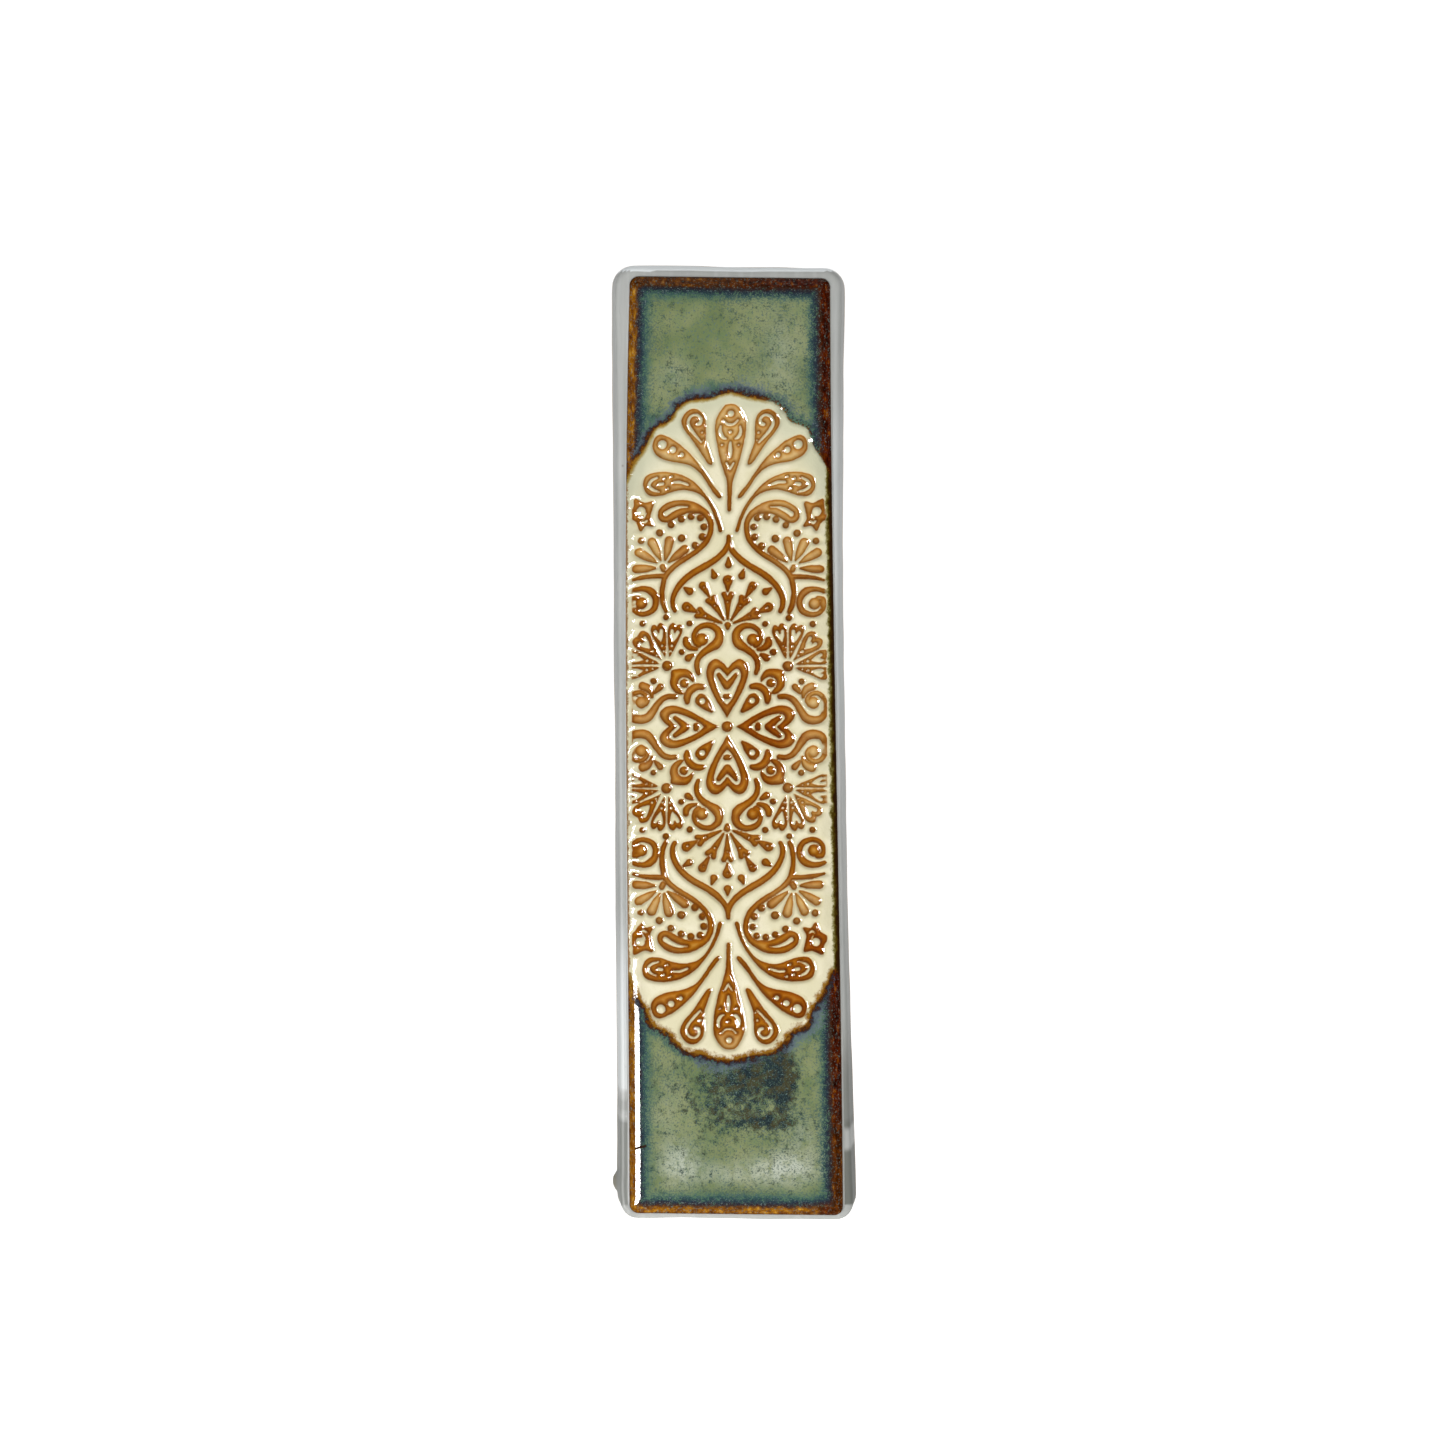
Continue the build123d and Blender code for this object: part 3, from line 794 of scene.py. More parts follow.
def pooled_amber(s, recess):
    """The amber glaze in the recesses: darkest at their edges, tan where thin, brown where rich."""
    pool = s.ramp(recess, -1.3, 0.25, (-1.3, (206, 160, 86)), (-0.85, (190, 136, 54)), (-0.5, (170, 106, 20)),
                  (-0.25, (148, 86, 8)), (-0.06, (126, 66, 6)), (0.04, (154, 106, 50)),
                  (0.14, (210, 198, 160)))
    shallow = s.ramp(recess, -1.3, 0.25, (-1.3, (226, 204, 154)), (-0.75, (218, 188, 130)),
                     (-0.45, (210, 174, 112)), (-0.22, (190, 142, 70)), (-0.05, (158, 104, 38)),
                     (0.05, (194, 164, 114)), (0.14, (224, 212, 180)))
    stain = s.mix(s.value("thin"), pool, shallow)
    stain = s.mix(s.span(s.noise(260, 4, 0.6), 0.48, 0.72, 0.0, 0.45), stain, (190, 126, 46), "MULTIPLY")
    # Painted shade in the small deep dots
    stain = s.mix(s.times(s.value("pit"), 0.32), stain, (86, 40, 2))
    return s.mix(s.value("rich"), stain, (222, 178, 70), "MULTIPLY")


def cream_panel(s, depth):
    """Cream glaze, with amber pooled in what is stamped into it."""
    recess = s.ragged(s.value("recess"), s.noise(1300, 3), 0.2)
    cream = s.veil((228, 221, 193), (216, 209, 176), s.noise(130, 4), 0.38, 0.62)
    cream = s.veil(cream, (208, 198, 160), s.noise(3600, 3, 0.6), 0.52, 0.68, 0.25)
    # Painted shade on the cream round each recess
    cream = s.mix(s.span(recess, 0.15, 0.95, 0.5, 0.0), cream, (196, 184, 142))
    # Painted shade: the cream greyed near the border at the panel's upper end
    upper_end = s.span(s.axes()[1], 0.028, 0.042)
    painted_top_shade = s.times(s.span(s.value("panel"), 0.6, 6.0, 0.8, 0.0), upper_end)
    cream = s.mix(painted_top_shade, cream, (192, 193, 166))
    glaze = s.veil(pooled_amber(s, recess), cream, recess, 0.07, 0.2)
    brown_line = s.times(s.span(depth, 0.15, 0.5, 0.9, 0.0), s.value("warm"))
    return s.mix(brown_line, glaze, (132, 88, 36))


def panel_fringe(s, panel, tatter, glaze):
    """The panel's border, where the cream is stained tan, deeper and more ragged at its lower end."""
    low_end = s.span(s.axes()[1], -0.045, -0.035, 1.0, 0.0)
    fringe = s.mix(low_end, (150, 128, 66), (138, 94, 22))
    fringe = s.mix(s.value("faint"), fringe, (170, 170, 144))
    inward = s.ragged(panel, tatter, s.span(low_end, 0.0, 1.0, 1.0, 3.4))
    return s.veil(fringe, glaze, inward, 0.1, s.span(low_end, 0.0, 1.0, 0.75, 1.0))


def side_strip(s, depth, glaze):
    """The dark strip where the cream breaks over the slab's right edge: dark glaze, deepened by painted shade
    on the side away from the light.
    """
    strip = s.ramp(depth, 0, 1.6, (0.0, (40, 24, 8)), (0.45, (46, 24, 4)), (0.8, (78, 62, 8)),
                   (1.1, (140, 132, 80)), (1.5, (206, 200, 168)))
    cool = s.maths("SUBTRACT", 1.0, s.value("warm"))
    return s.mix(s.times(s.span(depth, 1.0, 1.5, 1.0, 0.0), cool), glaze, strip)


CRACK_X, CRACK_Z, CRACK_SLOPE = -0.0158, -0.06683, 0.31  # in metres; CRACK_Z is its height at x = 0


def crack(s):
    """A fine dark crack across the lower left edge."""
    x, z = s.axes()
    off_line = s.maths("SUBTRACT", s.maths("SUBTRACT", z, s.times(x, CRACK_SLOPE)), CRACK_Z)
    beside = s.maths("ABSOLUTE", s.maths("SUBTRACT", x, CRACK_X))
    return s.times(s.span(s.maths("ABSOLUTE", off_line), 0.00016, 0.0003, 1.0, 0.0),
                   s.span(beside, 0.0009, 0.0012, 1.0, 0.0))


def relief_glaze():
    """Cream and amber glazes on the stamped panel, mottled green beyond it, breaking brown at the rim."""
    s = Shader("relief_glaze", ior=1.7)
    panel, edge, warm = s.value("panel"), s.value("edge"), s.value("warm")
    tatter = s.noise(800, 6, 0.72)
    fine = s.noise(2800, 5, 0.7)
    depth = s.ragged(edge, tatter, 2.0)
    away = s.ragged(s.times(panel, -1.0), tatter, 4.0)

    field = breaking_rim(s, edge, depth, fine, green_field(s, fine, depth, away))
    field = panel_halo(s, fine, edge, away, field)
    glaze = side_strip(s, depth, panel_fringe(s, panel, tatter, cream_panel(s, depth)))
    colour = s.veil(field, glaze, s.ragged(panel, tatter, 1.0), -0.15, 0.2)
    broken = crack(s)
    colour = s.mix(s.times(broken, 0.9), colour, (48, 24, 10))

    worn = s.span(edge, s.span(warm, 0.0, 1.0, 1.1, 0.1), s.span(warm, 0.0, 1.0, 2.8, 0.9), 0.04, 0.5)
    gloss = s.times(worn, s.span(broken, 0.0, 1.0, 1.0, 0.0))
    s.feed(s.surface.inputs["Specular IOR Level"], gloss)
    ripple = s.bump(s.noise(700, 3), 0.00003, 0.3)
    raised = s.span(s.value("recess"), 0.05, 0.4, 0.15, 1.0)
    beaded = s.times(raised, s.span(panel, -0.3, 0.3, 0.3, 1.0))
    beads = s.times(s.noise(2600, 2), beaded)
    return s.finish(colour, s.span(fine, 0.35, 0.65, 0.02, 0.06), s.bump(beads, 0.00005, 0.6, ripple))


def felt():
    s = Shader("wool_felt", roughness=0.95, Sheen_Weight=0.35, Sheen_Roughness=0.5)
    fibres = s.noise(2600, 3, 0.6, 1.2)
    colour = s.veil((64, 74, 66), (100, 110, 98), fibres, 0.38, 0.62)
    colour = s.veil(colour, (82, 96, 84), s.noise(240, 3), 0.4, 0.7, 0.4)
    return s.finish(colour, None, s.bump(fibres, 0.00025, 0.8))


def foam():
    s = Shader("closed_cell_foam", roughness=0.85)
    cells = s.cells(2600)
    colour = s.veil((34, 34, 36), (58, 58, 60), cells, 0.1, 0.6)
    colour = s.veil(colour, (74, 74, 76), s.noise(500, 2), 0.4, 0.7, 0.3)
    return s.finish(colour, s.span(cells, 0.0, 0.6, 0.9, 0.72), s.bump(cells, 0.00015, 0.7))


def matt_plastic():
    s = Shader("matt_cover_plastic", roughness=0.5)
    fine = s.noise(3200, 2)
    colour = s.veil((236, 233, 224), (229, 225, 212), s.noise(60, 3), 0.35, 0.65)
    flow = s.noise(120, 2, stretch=(1.0, 1.0, 0.15))
    colour = s.veil(colour, (222, 217, 203), flow, 0.45, 0.75, 0.35)
    return s.finish(colour, s.span(fine, 0.3, 0.7, 0.42, 0.6), s.bump(fine, 0.00004, 0.5))


def ribbon():
    s = Shader("woven_ribbon", roughness=0.7, Sheen_Weight=0.2)
    strands = s.noise(5200, 2, stretch=(1.0, 1.0, 0.25))
    colour = s.mix(s.value("over"), (58, 92, 80), (74, 112, 96))
    # Painted shade in the gaps between the threads, where they lie low
    colour = s.mix(s.span(s.value("lift"), 0.0, 0.7, 0.75, 0.0), colour, (26, 46, 40))
    colour = s.veil(colour, (98, 136, 118), strands, 0.45, 0.7, 0.5)
    return s.finish(colour, s.span(strands, 0.3, 0.7, 0.6, 0.8), s.bump(strands, 0.00005, 0.6))


def parchment():
    s = Shader("scroll_parchment", roughness=0.7, Subsurface_Weight=0.08)
    s.surface.inputs["Subsurface Radius"].default_value = (0.001, 0.0006, 0.0003)
    fibre = s.noise(1400, 3, 0.6, 2.0)
    colour = s.veil((232, 216, 180), (214, 192, 148), s.noise(150, 5, 0.6), 0.35, 0.65)
    colour = s.veil(colour, (190, 164, 118), fibre, 0.55, 0.75, 0.45)
    follicles = s.flecks(900, 0.14, 200, 0.55, 0.65)
    colour = s.mix(s.times(follicles, 0.5), colour, (142, 112, 74))
    return s.finish(colour, s.span(fibre, 0.3, 0.7, 0.6, 0.8), s.bump(fibre, 0.00005, 0.5))


def clear_film():
    s = Shader("clear_film", roughness=0.06, ior=1.49, Alpha=0.25)
    creases = s.noise(260, 3, 0.55, 1.5)
    colour = s.veil((240, 244, 244), (226, 234, 236), creases, 0.4, 0.6)
    return s.finish(colour, s.span(creases, 0.3, 0.7, 0.04, 0.14), s.bump(creases, 0.0003, 0.35))


# ---------------------------------------------------------------- relief slab

# The slab's rounded edge: its slope in degrees at distances from its outline
EDGE_SLOPES = [(0.0, 51), (0.5, 48), (1.2, 44), (2.1, 31), (3.0, 14), (4.0, 0)]
FINE_EDGE = 2.5  # so near the outline, rows and columns lie closer together
FINE_STEPS = FINE_EDGE * (1 - np.cos(np.radians([0, 14, 28, 42, 56, 72, 90])))
ROW_STEP, PANEL_ROW_STEP, COLUMN_STEP = 0.62, 0.242, 0.236
PANEL_HALF_HEIGHT, STAMP_HALF_HEIGHT = 61.0, 60.5
BACK_CHAMFER = 0.3


def slab_rows():
    """The z of the slab's rows on its middle line: close together at its ends and over the stamped panel."""
    foot, top = SLAB.foot_z(0), SLAB.top_z(0)
    low, high = PATTERN_Z - PANEL_HALF_HEIGHT, PATTERN_Z + PANEL_HALF_HEIGHT
    clear = FINE_EDGE + 0.1
    return np.concatenate([
        foot + FINE_STEPS, np.arange(foot + clear, low, ROW_STEP),
        np.arange(low, high, PANEL_ROW_STEP),
        np.arange(high, top - clear, ROW_STEP), top - FINE_STEPS[::-1],
    ])


def slab_columns(width):
    """Distances across the slab: close together where its edges turn over, then evenly spaced."""
    count = round((width - 2 * FINE_EDGE) / COLUMN_STEP)
    middle = np.linspace(FINE_EDGE, width - FINE_EDGE, count + 1)[1:-1]
    return np.concatenate([FINE_STEPS, middle, width - FINE_STEPS[::-1]])


def slab_grid():
    """x and z of every point of the slab's face, in rows and columns."""
    rows = slab_rows()
    foot, top = rows[0], rows[-1]
    width = SLAB.right_x(0) - SLAB.left_x(0)
    tilt_foot = SLAB.foot_z(1.0) - SLAB.foot_z(0.0)
    tilt_top = SLAB.top_z(1.0) - SLAB.top_z(0.0)
    r = SLAB.radius
    from_end = np.minimum(np.minimum(rows - foot, top - rows), r)
    pulled = r - np.sqrt(np.maximum(r * r - (r - from_end) ** 2, 0))
    left, right = SLAB.left_x(rows) + pulled, SLAB.right_x(rows) - pulled
    x = left[:, None] + (right - left)[:, None] * slab_columns(width) / width
    share = (rows - foot) / (top - foot)
    z = rows[:, None] + x * (tilt_foot * (1 - share) + tilt_top * share)[:, None]
    return x, z


def edge_distance(x, z):
    """How far a point of the slab lies from its outline, round the corners too."""
    r = SLAB.radius
    side = np.minimum(x - SLAB.left_x(z), SLAB.right_x(z) - x)
    end = np.minimum(z - SLAB.foot_z(x), SLAB.top_z(x) - z)
    corner = r - np.hypot(r - side, r - end)
    return np.maximum(np.where((side < r) & (end < r), corner, np.minimum(side, end)), 0)


def turned_edge(distance):
    """How far the slab's face has dropped at a distance from its outline."""
    at, slopes = np.array(EDGE_SLOPES, float).T
    steps = np.linspace(0, at[-1], 161)
    rise = np.tan(np.radians(np.interp(steps, at, slopes)))
    height = np.concatenate([[0], np.cumsum((rise[1:] + rise[:-1]) / 2 * np.diff(steps))])
    return height[-1] - np.interp(distance, steps, height)


def blobs(px, pz, *spots):
    """The sum of soft spots, each given as its strength, x, z, half-width and half-height."""
    return sum(
        strength * np.exp(-(((px - x) / wide) ** 2 + ((pz - z) / tall) ** 2))
        for strength, x, z, wide, tall in spots
    )


def face_height(px, pz, recess, panel, edge):
    """The height of the slab's face, with the sunk panel, the stamped ornament and the glaze's waver."""
    height = SLAB_FRONT - turned_edge(edge)
    steep = 1 + blobs(px, pz, (3.6, 14.8, 50.8, 1.1, 1.1), (3.6, 9.3, 56.5, 1.0, 0.9),
                      (-0.9, 11.3, 54.3, 1.0, 0.9))
    height -= PANEL_DEPTH * steep * ease(panel, -1.1, 0.9) * ease(edge, 0.6, 2.6)
    softness = EDGE_SOFTNESS * np.where(recess < 0, 1.6, 1.0)
    height -= ORNAMENT_DEPTH * 0.5 * (1 - np.tanh(recess / softness)) * ease(panel, 0.0, 0.5)
    height -= 0.04 * (1 + lumps(px, pz, 9.0, 31)) * ease(edge, 1.0, 5)
    height -= 0.01 * (1 + lumps(px, pz, 1.5, 32)) * ease(edge, 1.6, 3.5)
    beaded = ease(panel, 0.0, 0.4) * ease(px, -16.0, -17.0) * ease(edge, 0.3, 1.0)
    return height - 0.05 * (1 + lumps(px, pz, 0.6, 33)) * beaded


def thin_amber(px, pz):
    """Where the amber glaze is thin enough for the clay to show through it as tan."""
    side, end = np.abs(px), np.abs(pz)
    total = blobs(side, pz, (0.95, 0, 53, 7, 8), (0.85, 11, 47, 7, 7))
    total += blobs(side, end, (0.95, 13, 31, 4.2, 3.6))
    total += blobs(px, end, (0.95, 15, 5, 3.2, 3.8), (0.8, 15, 13.5, 4, 4))
    total += blobs(px, pz, (0.6, 15.5, 22, 3, 3), (0.5, -15, 3, 3, 4), (0.4, -13, -6, 4, 4),
                   (0.8, 0.3, -56.5, 2.6, 2.0), (0.4, 9, 39, 5, 3))
    return total + 0.12 * lumps(px, pz, 5, 21)


def rich_amber(px, pz):
    """Where the amber glaze is thick and browner."""
    total = blobs(px, pz, (0.9, 7.5, 0, 6, 5), (0.6, 6, 13, 4.5, 5), (0.9, 15.5, -38, 2.5, 3.5),
                  (0.7, 11, -48, 6, 5), (0.4, -12, -48, 4, 4), (0.4, 4, 24, 5, 5), (0.35, 4, -9, 6, 5))
    return np.minimum(total + 0.15 * lumps(px, pz, 4, 22), 0.9)


def glaze_marks(px, pz):
    """Where each of the slab's glazes takes another look, from 0 to 1. Warm is where the rim is amber."""
    warm = np.maximum.reduce([
        ease(px, 2.0, -12.0) * ease(pz, 79.5, 77.0), ease(pz, -76.0, -84.0) * ease(px, 18.0, 14.0),
        0.3 * ease(pz, 77, 79) * ease(px, 12, -4), 0.18 * ease(pz, -66, -76) * ease(px, 17, 19),
    ])
    blotch = blobs(px, pz, (1.1, 10.2, -62.5, 2.1, 5.5), (0.8, 5, -62, 4.5, 4.5), (0.75, 7, -70.3, 5, 1.9),
                   (0.45, -2, -65, 5, 7))
    pale = blobs(px, pz, (0.8, -8.5, -77.5, 3.2, 3.4), (0.95, 10.5, -78.5, 5, 2.6), (0.45, 1, -79.5, 9, 2),
                 (0.3, 13, -73, 3, 4), (0.15, -11, -68, 3, 7), (0.25, 9.5, 66, 3.5, 8),
                 (0.2, -9.5, 62, 3, 3))
    return {"warm": warm, "thin": thin_amber(px, pz), "rich": rich_amber(px, pz), "blotch": blotch,
            "pale": pale, "faint": ease(px, 5, 9) * ease(pz, 38, 44)}


def slab_solid(front, rows, columns):
    """The slab's points and faces, from its face's grid of points, and the number of its first back face."""
    border = grid_border(rows, columns)
    count = len(border)
    rim = front[border] * [1, 1, 0]
    points = np.vstack([front, rim + [0, 0, SLAB_BACK + BACK_CHAMFER], rim + [0, 0, SLAB_BACK]])
    rings = [border] + [list(range(start, start + count)) for start in (len(front), len(front) + count)]
    faces = grid_faces(rows, columns)
    for upper, lower in zip(rings, rings[1:]):
        for k in range(count):
            n = (k + 1) % count
            faces.append((upper[k], upper[n], lower[n], lower[k]))
    first_back = len(faces)
    last = rings[-1]
    left = [last[0]] + last[:-(rows - 1):-1]
    right = last[columns - 1:columns - 1 + rows]
    top = last[columns + rows - 2:2 * columns + rows - 2]
    faces.append((*last[:columns], right[1], left[1]))
    faces += [(left[i], right[i], right[i + 1], left[i + 1]) for i in range(1, rows - 2)]
    faces.append((left[-1], right[-2], *top))
    return points, faces, first_back


def relief_slab(glaze, clay):
    x, z = slab_grid()
    px, pz = (x - PATTERN_X).ravel(), (z - PATTERN_Z).ravel()
    recess, pit = np.full(px.shape, FAR), np.zeros(px.shape)
    stamp = np.abs(pz) < STAMP_HALF_HEIGHT
    recess[stamp], pit[stamp] = stamped(px[stamp], pz[stamp])
    panel = panel_distance(px, pz)
    edge = edge_distance(x, z).ravel()
    front = np.stack([x.ravel(), z.ravel(), face_height(px, pz, recess, panel, edge)], 1)
    points, faces, first_back = slab_solid(front, *x.shape)

    piece = add_piece("stamped_slab", points, faces, "case", "relief_glaze", [glaze, clay], sharp=60)
    bare = [int(number >= first_back) for number in range(len(faces))]
    piece.data.polygons.foreach_set("material_index", bare)
    marks = {"recess": (np.clip(recess, -2, 2), FAR), "panel": (np.clip(panel, -9, 9), -9),
             "edge": (np.clip(edge, 0, 9), 0), "pit": (pit, 0)}
    for name, values in glaze_marks(px, pz).items():
        marks[name] = (np.clip(values, 0, 1), 0)
    for name, (values, elsewhere) in marks.items():
        rest = np.full(len(points) - len(front), elsewhere)
        set_values(piece, name, np.concatenate([values, rest]))
    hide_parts("relief_slab")


# ---------------------------------------------------------------- case walls

CHAMBER_MIDDLE_DEPTH = 10.0
SEAT_LIP = 0.2  # how far the chamber's edge is broken off, outside the seat


def wall_steps():
    """Even steps up a side, closer together where the cover's seat ends and round the run of glaze."""
    even = np.linspace(0, 1, 130)[1:-1]
    length = CASE.top_z(0) - CASE.foot_z(0) - 2 * CASE.radius
    middle = (CASE.top_z(0) + CASE.foot_z(0)) / 2
    marks = np.array([-58.0, -57.8, 57.8, 58.0, *np.arange(-81.0, -74.5, 0.5)])
    return np.sort(np.concatenate([even, 0.5 + (marks - middle) / length]))


def painted_bands(z, *bands):
    """Bands of painted reflection and shade up a side: how strong, where each starts and is whole, where it
    is gone and fades.
    """
    return sum(
        strength * ease(z, start, whole) * ease(z, gone, fades)
        for strength, start, whole, gone, fades in bands
    )


def painted_wall_light(x, z):
    """Painted light on the walls: darker above 0, lighter below 0. The bands up the sides are painted
    reflections and shade, the lighter top end is painted light.
    """
    foot, top = (-101, -100), (101, 100)
    left = painted_bands(z, (-0.5, -22, -52, -66.0, -65.2), (0.4, -65.2, -66, -69.6, -69.2),
                (-0.4, -69.2, -69.5, -70.1, -69.8), (0.65, -69.8, -70.4, *foot), (0.12, 60, 10, -40, -20))
    right = painted_bands(z, (0.45, 50, 72, *top), (-0.3, -30, 10, *top), (0.3, -20, -50, *foot),
                 (0.4, -50, -64, -71.3, -71.0), (0.3, -70.3, -70.6, -71.3, -71.0),
                 (-0.25, -71.0, -71.3, -76.0, -75.6), (0.75, -75.6, -76.0, *foot))
    ends = np.where(z > 81, -1.0, 0.1)
    return np.where(np.abs(z + 2.2) > 83, ends, np.where(x < 0, left, right))


def wall_rings():
    """The walls' rings of points, from the seat round the outside into the chamber, and each point's marks:
    how glazed it is, whether it is on the outside, and whether it is in the joint round the slab."""
    steps = wall_steps()
    chamber = CASE.loop(steps, CHAMBER_SIDE_INSET, CHAMBER_END_INSET, CHAMBER_CORNER_RADIUS)
    seated = (np.abs(chamber[:, 1]) < SEAT_HALF_LENGTH) & (np.abs(chamber[:, 0]) > 12)
    seat_edge = chamber.copy()
    seat_edge[seated, 0] = np.sign(chamber[seated, 0]) * SEAT_HALF_WIDTH
    count = len(chamber)
    rings, marks = [], []

    def add(loop, height, glazed=0.0, outside=False, joint=False):
        rings.append(np.column_stack([loop, np.broadcast_to(height, count)]))
        marks.append(np.tile([glazed, outside, joint], (count, 1)))

    def drawn_in(inset):
        return CASE.loop(steps, inset, inset, CASE.radius - inset)

    def round_slab(grow):
        return SLAB.loop(steps, -grow, -grow, SLAB.radius + grow)

    add(seat_edge, 0.0)
    add(CASE.loop(steps, 2.6, 2.6, CASE.radius - 1.6), 0.0)
    for turn, glazed in ((90, 0.0), (60, 0.0), (30, 0.25), (0, 0.25)):
        inset = BACK_EDGE_RADIUS * (1 - np.cos(np.radians(turn)))
        height = BACK_EDGE_RADIUS * (1 - np.sin(np.radians(turn)))
        add(drawn_in(inset), height, glazed, outside=True)
    shoulder = CASE_DEPTH - SHOULDER_RADIUS
    for height in (1.6, 2.8, 4.6, 6.6, 8.8, 11.0, 13.2, 15.2, 17.0, 18.6, shoulder):
        add(drawn_in(FRONT_FLARE * height / CASE_DEPTH), height, min(1.0, height / 3.2), outside=True)
    outer, inner = drawn_in(FRONT_FLARE), round_slab(0.25)
    across = np.hypot(*(inner - outer).T)[:, None]
    reach = np.minimum(across - 0.1, 1.4) / across
    for turn in np.radians([15, 30, 45, 60, 75, 90]):
        loop = outer + (inner - outer) * reach * (1 - np.cos(turn))
        add(loop, shoulder + SHOULDER_RADIUS * np.sin(turn), 1.0, outside=True)
    add(round_slab(0.25), CASE_DEPTH - 0.05, 1.0)
    add(round_slab(0.1), CASE_DEPTH + 0.02, 1.0)
    add(round_slab(-0.03), CASE_DEPTH + 0.16, 1.0, joint=True)
    add(round_slab(-0.03), SLAB_BACK, 1.0, joint=True)
    add(chamber, SLAB_BACK)
    add(chamber, CHAMBER_MIDDLE_DEPTH)
    add(chamber, np.where(seated, SEAT_DEPTH, 2 * SEAT_LIP))
    add(seat_edge, np.where(seated, SEAT_DEPTH, SEAT_LIP))
    return rings, np.vstack(marks).T


def case_walls(material):
    """The ring of walls: its outer faces waver as hand-made ones do, and glaze has run low on the left."""
    rings, (glazed, outside, joint) = wall_rings()
    points = np.vstack(rings)
    x, z, height = points.T
    waver = 0.10 * lumps(z + 3 * x, height, 16.0, 41) + 0.05 * lumps(z, height + x, 4.5, 42)
    middle_x = (CASE.left_x(z) + CASE.right_x(z)) / 2
    outward_x = np.where(np.abs(z) < 81, np.sign(x - middle_x), 0.0)
    outward_z = np.where(np.abs(z) >= 81, np.sign(z), 0.0)
    drip = np.exp(-np.abs((z + 78.6) / 1.7) ** 3 - ((height - 12.0) / 5.5) ** 2) * (x < 0) * outside
    points[:, 0] += outside * waver * outward_x - 1.1 * drip
    points[:, 1] += outside * waver * outward_z

    faces = ring_faces(len(rings), len(rings[0]), wrap=True)
    piece = add_piece("glazed_walls", points, faces, "case", "white_glaze", [material], sharp=38)
    set_values(piece, "glaze", glazed)
    # tone carries the walls' painted light, shade and reflections
    set_values(piece, "tone", painted_wall_light(points[:, 0], points[:, 1] - PATTERN_Z) * outside)
    set_values(piece, "joint", joint)
    set_values(piece, "drip", drip)
    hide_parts("case_walls")


# ---------------------------------------------------------------- solids for what is behind the front

def rounded_loop(width, length, radius, corner_points=7, side_points=0, centre=(0.0, 0.0)):
    """A rounded rectangle as x and z points, with extra points on its long sides."""
    loop = []
    for sx, sz, first in ((1, 1, 0), (-1, 1, 90), (-1, -1, 180), (1, -1, 270)):
        cx, cz = sx * (width / 2 - radius), sz * (length / 2 - radius)
        for turn in np.radians(first + np.linspace(0, 90, corner_points)):
            loop.append((cx + radius * math.cos(turn), cz + radius * math.sin(turn)))
    loop = np.array(loop)
    if side_points:
        half = len(loop) // 2
        t = np.linspace(0, 1, side_points + 2)[1:-1, None]
        left = loop[half - 1] + (loop[half] - loop[half - 1]) * t
        right = loop[-1] + (loop[0] - loop[-1]) * t
        loop = np.vstack([loop[:half], left, loop[half:], right])
    return loop + centre


def stack(loops):
    """Points and faces of a closed solid from loops of x and z with a height each, both its ends capped."""
    count = len(loops[0][0])
    points = np.vstack([np.column_stack([loop, np.broadcast_to(height, count)]) for loop, height in loops])
    faces = ring_faces(len(loops), count)
    faces.append(tuple(range(count))[::-1])
    faces.append(tuple((len(loops) - 1) * count + i for i in range(count)))
    return points, faces


def plate_loops(width, length, radius, low, high, edge, side_points=0, centre=(0.0, 0.0)):
    """A flat plate with rounded edges."""
    loops = []
    for middle, way, turns in ((low + edge, -1, (90, 60, 30, 0)), (high - edge, 1, (0, 30, 60, 90))):
        for turn in np.radians(turns):
            inset = edge * (1 - math.cos(turn))
            loop = rounded_loop(width - 2 * inset, length - 2 * inset, max(radius - inset, 0.05),
                                side_points=side_points, centre=centre)
            loops.append((loop, middle + way * edge * math.sin(turn)))
    return loops


def joined(solids):
    """Several solids' points and faces as one."""
    points, faces, start = [], [], 0
    for p, f in solids:
        points.append(p)
        faces += [tuple(start + i for i in face) for face in f]
        start += len(p)
    return np.vstack(points), faces


# ---------------------------------------------------------------- hangers and cover

BRIDGE_VOXEL = 0.0004  # metres


def hanger_bridges(material):
    """The CAD bridges, softened as hand-cut clay is."""
    for name in ("upper_hanger_bridge", "lower_hanger_bridge"):
        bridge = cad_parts[name]
        bridge.material_slots[0].material = material
        remesh = bridge.modifiers.new("clay", "REMESH")
        remesh.mode = "VOXEL"
        remesh.voxel_size = BRIDGE_VOXEL
        remesh.use_smooth_shade = True
        smooth = bridge.modifiers.new("worn", "SMOOTH")
        smooth.iterations = 6
        ripple = bpy.data.textures.new("hand_pressed", "CLOUDS")
        ripple.noise_scale = 0.004
        dents = bridge.modifiers.new("dents", "DISPLACE")
        dents.texture = ripple
        dents.strength = 0.0003
        dents.mid_level = 0.62


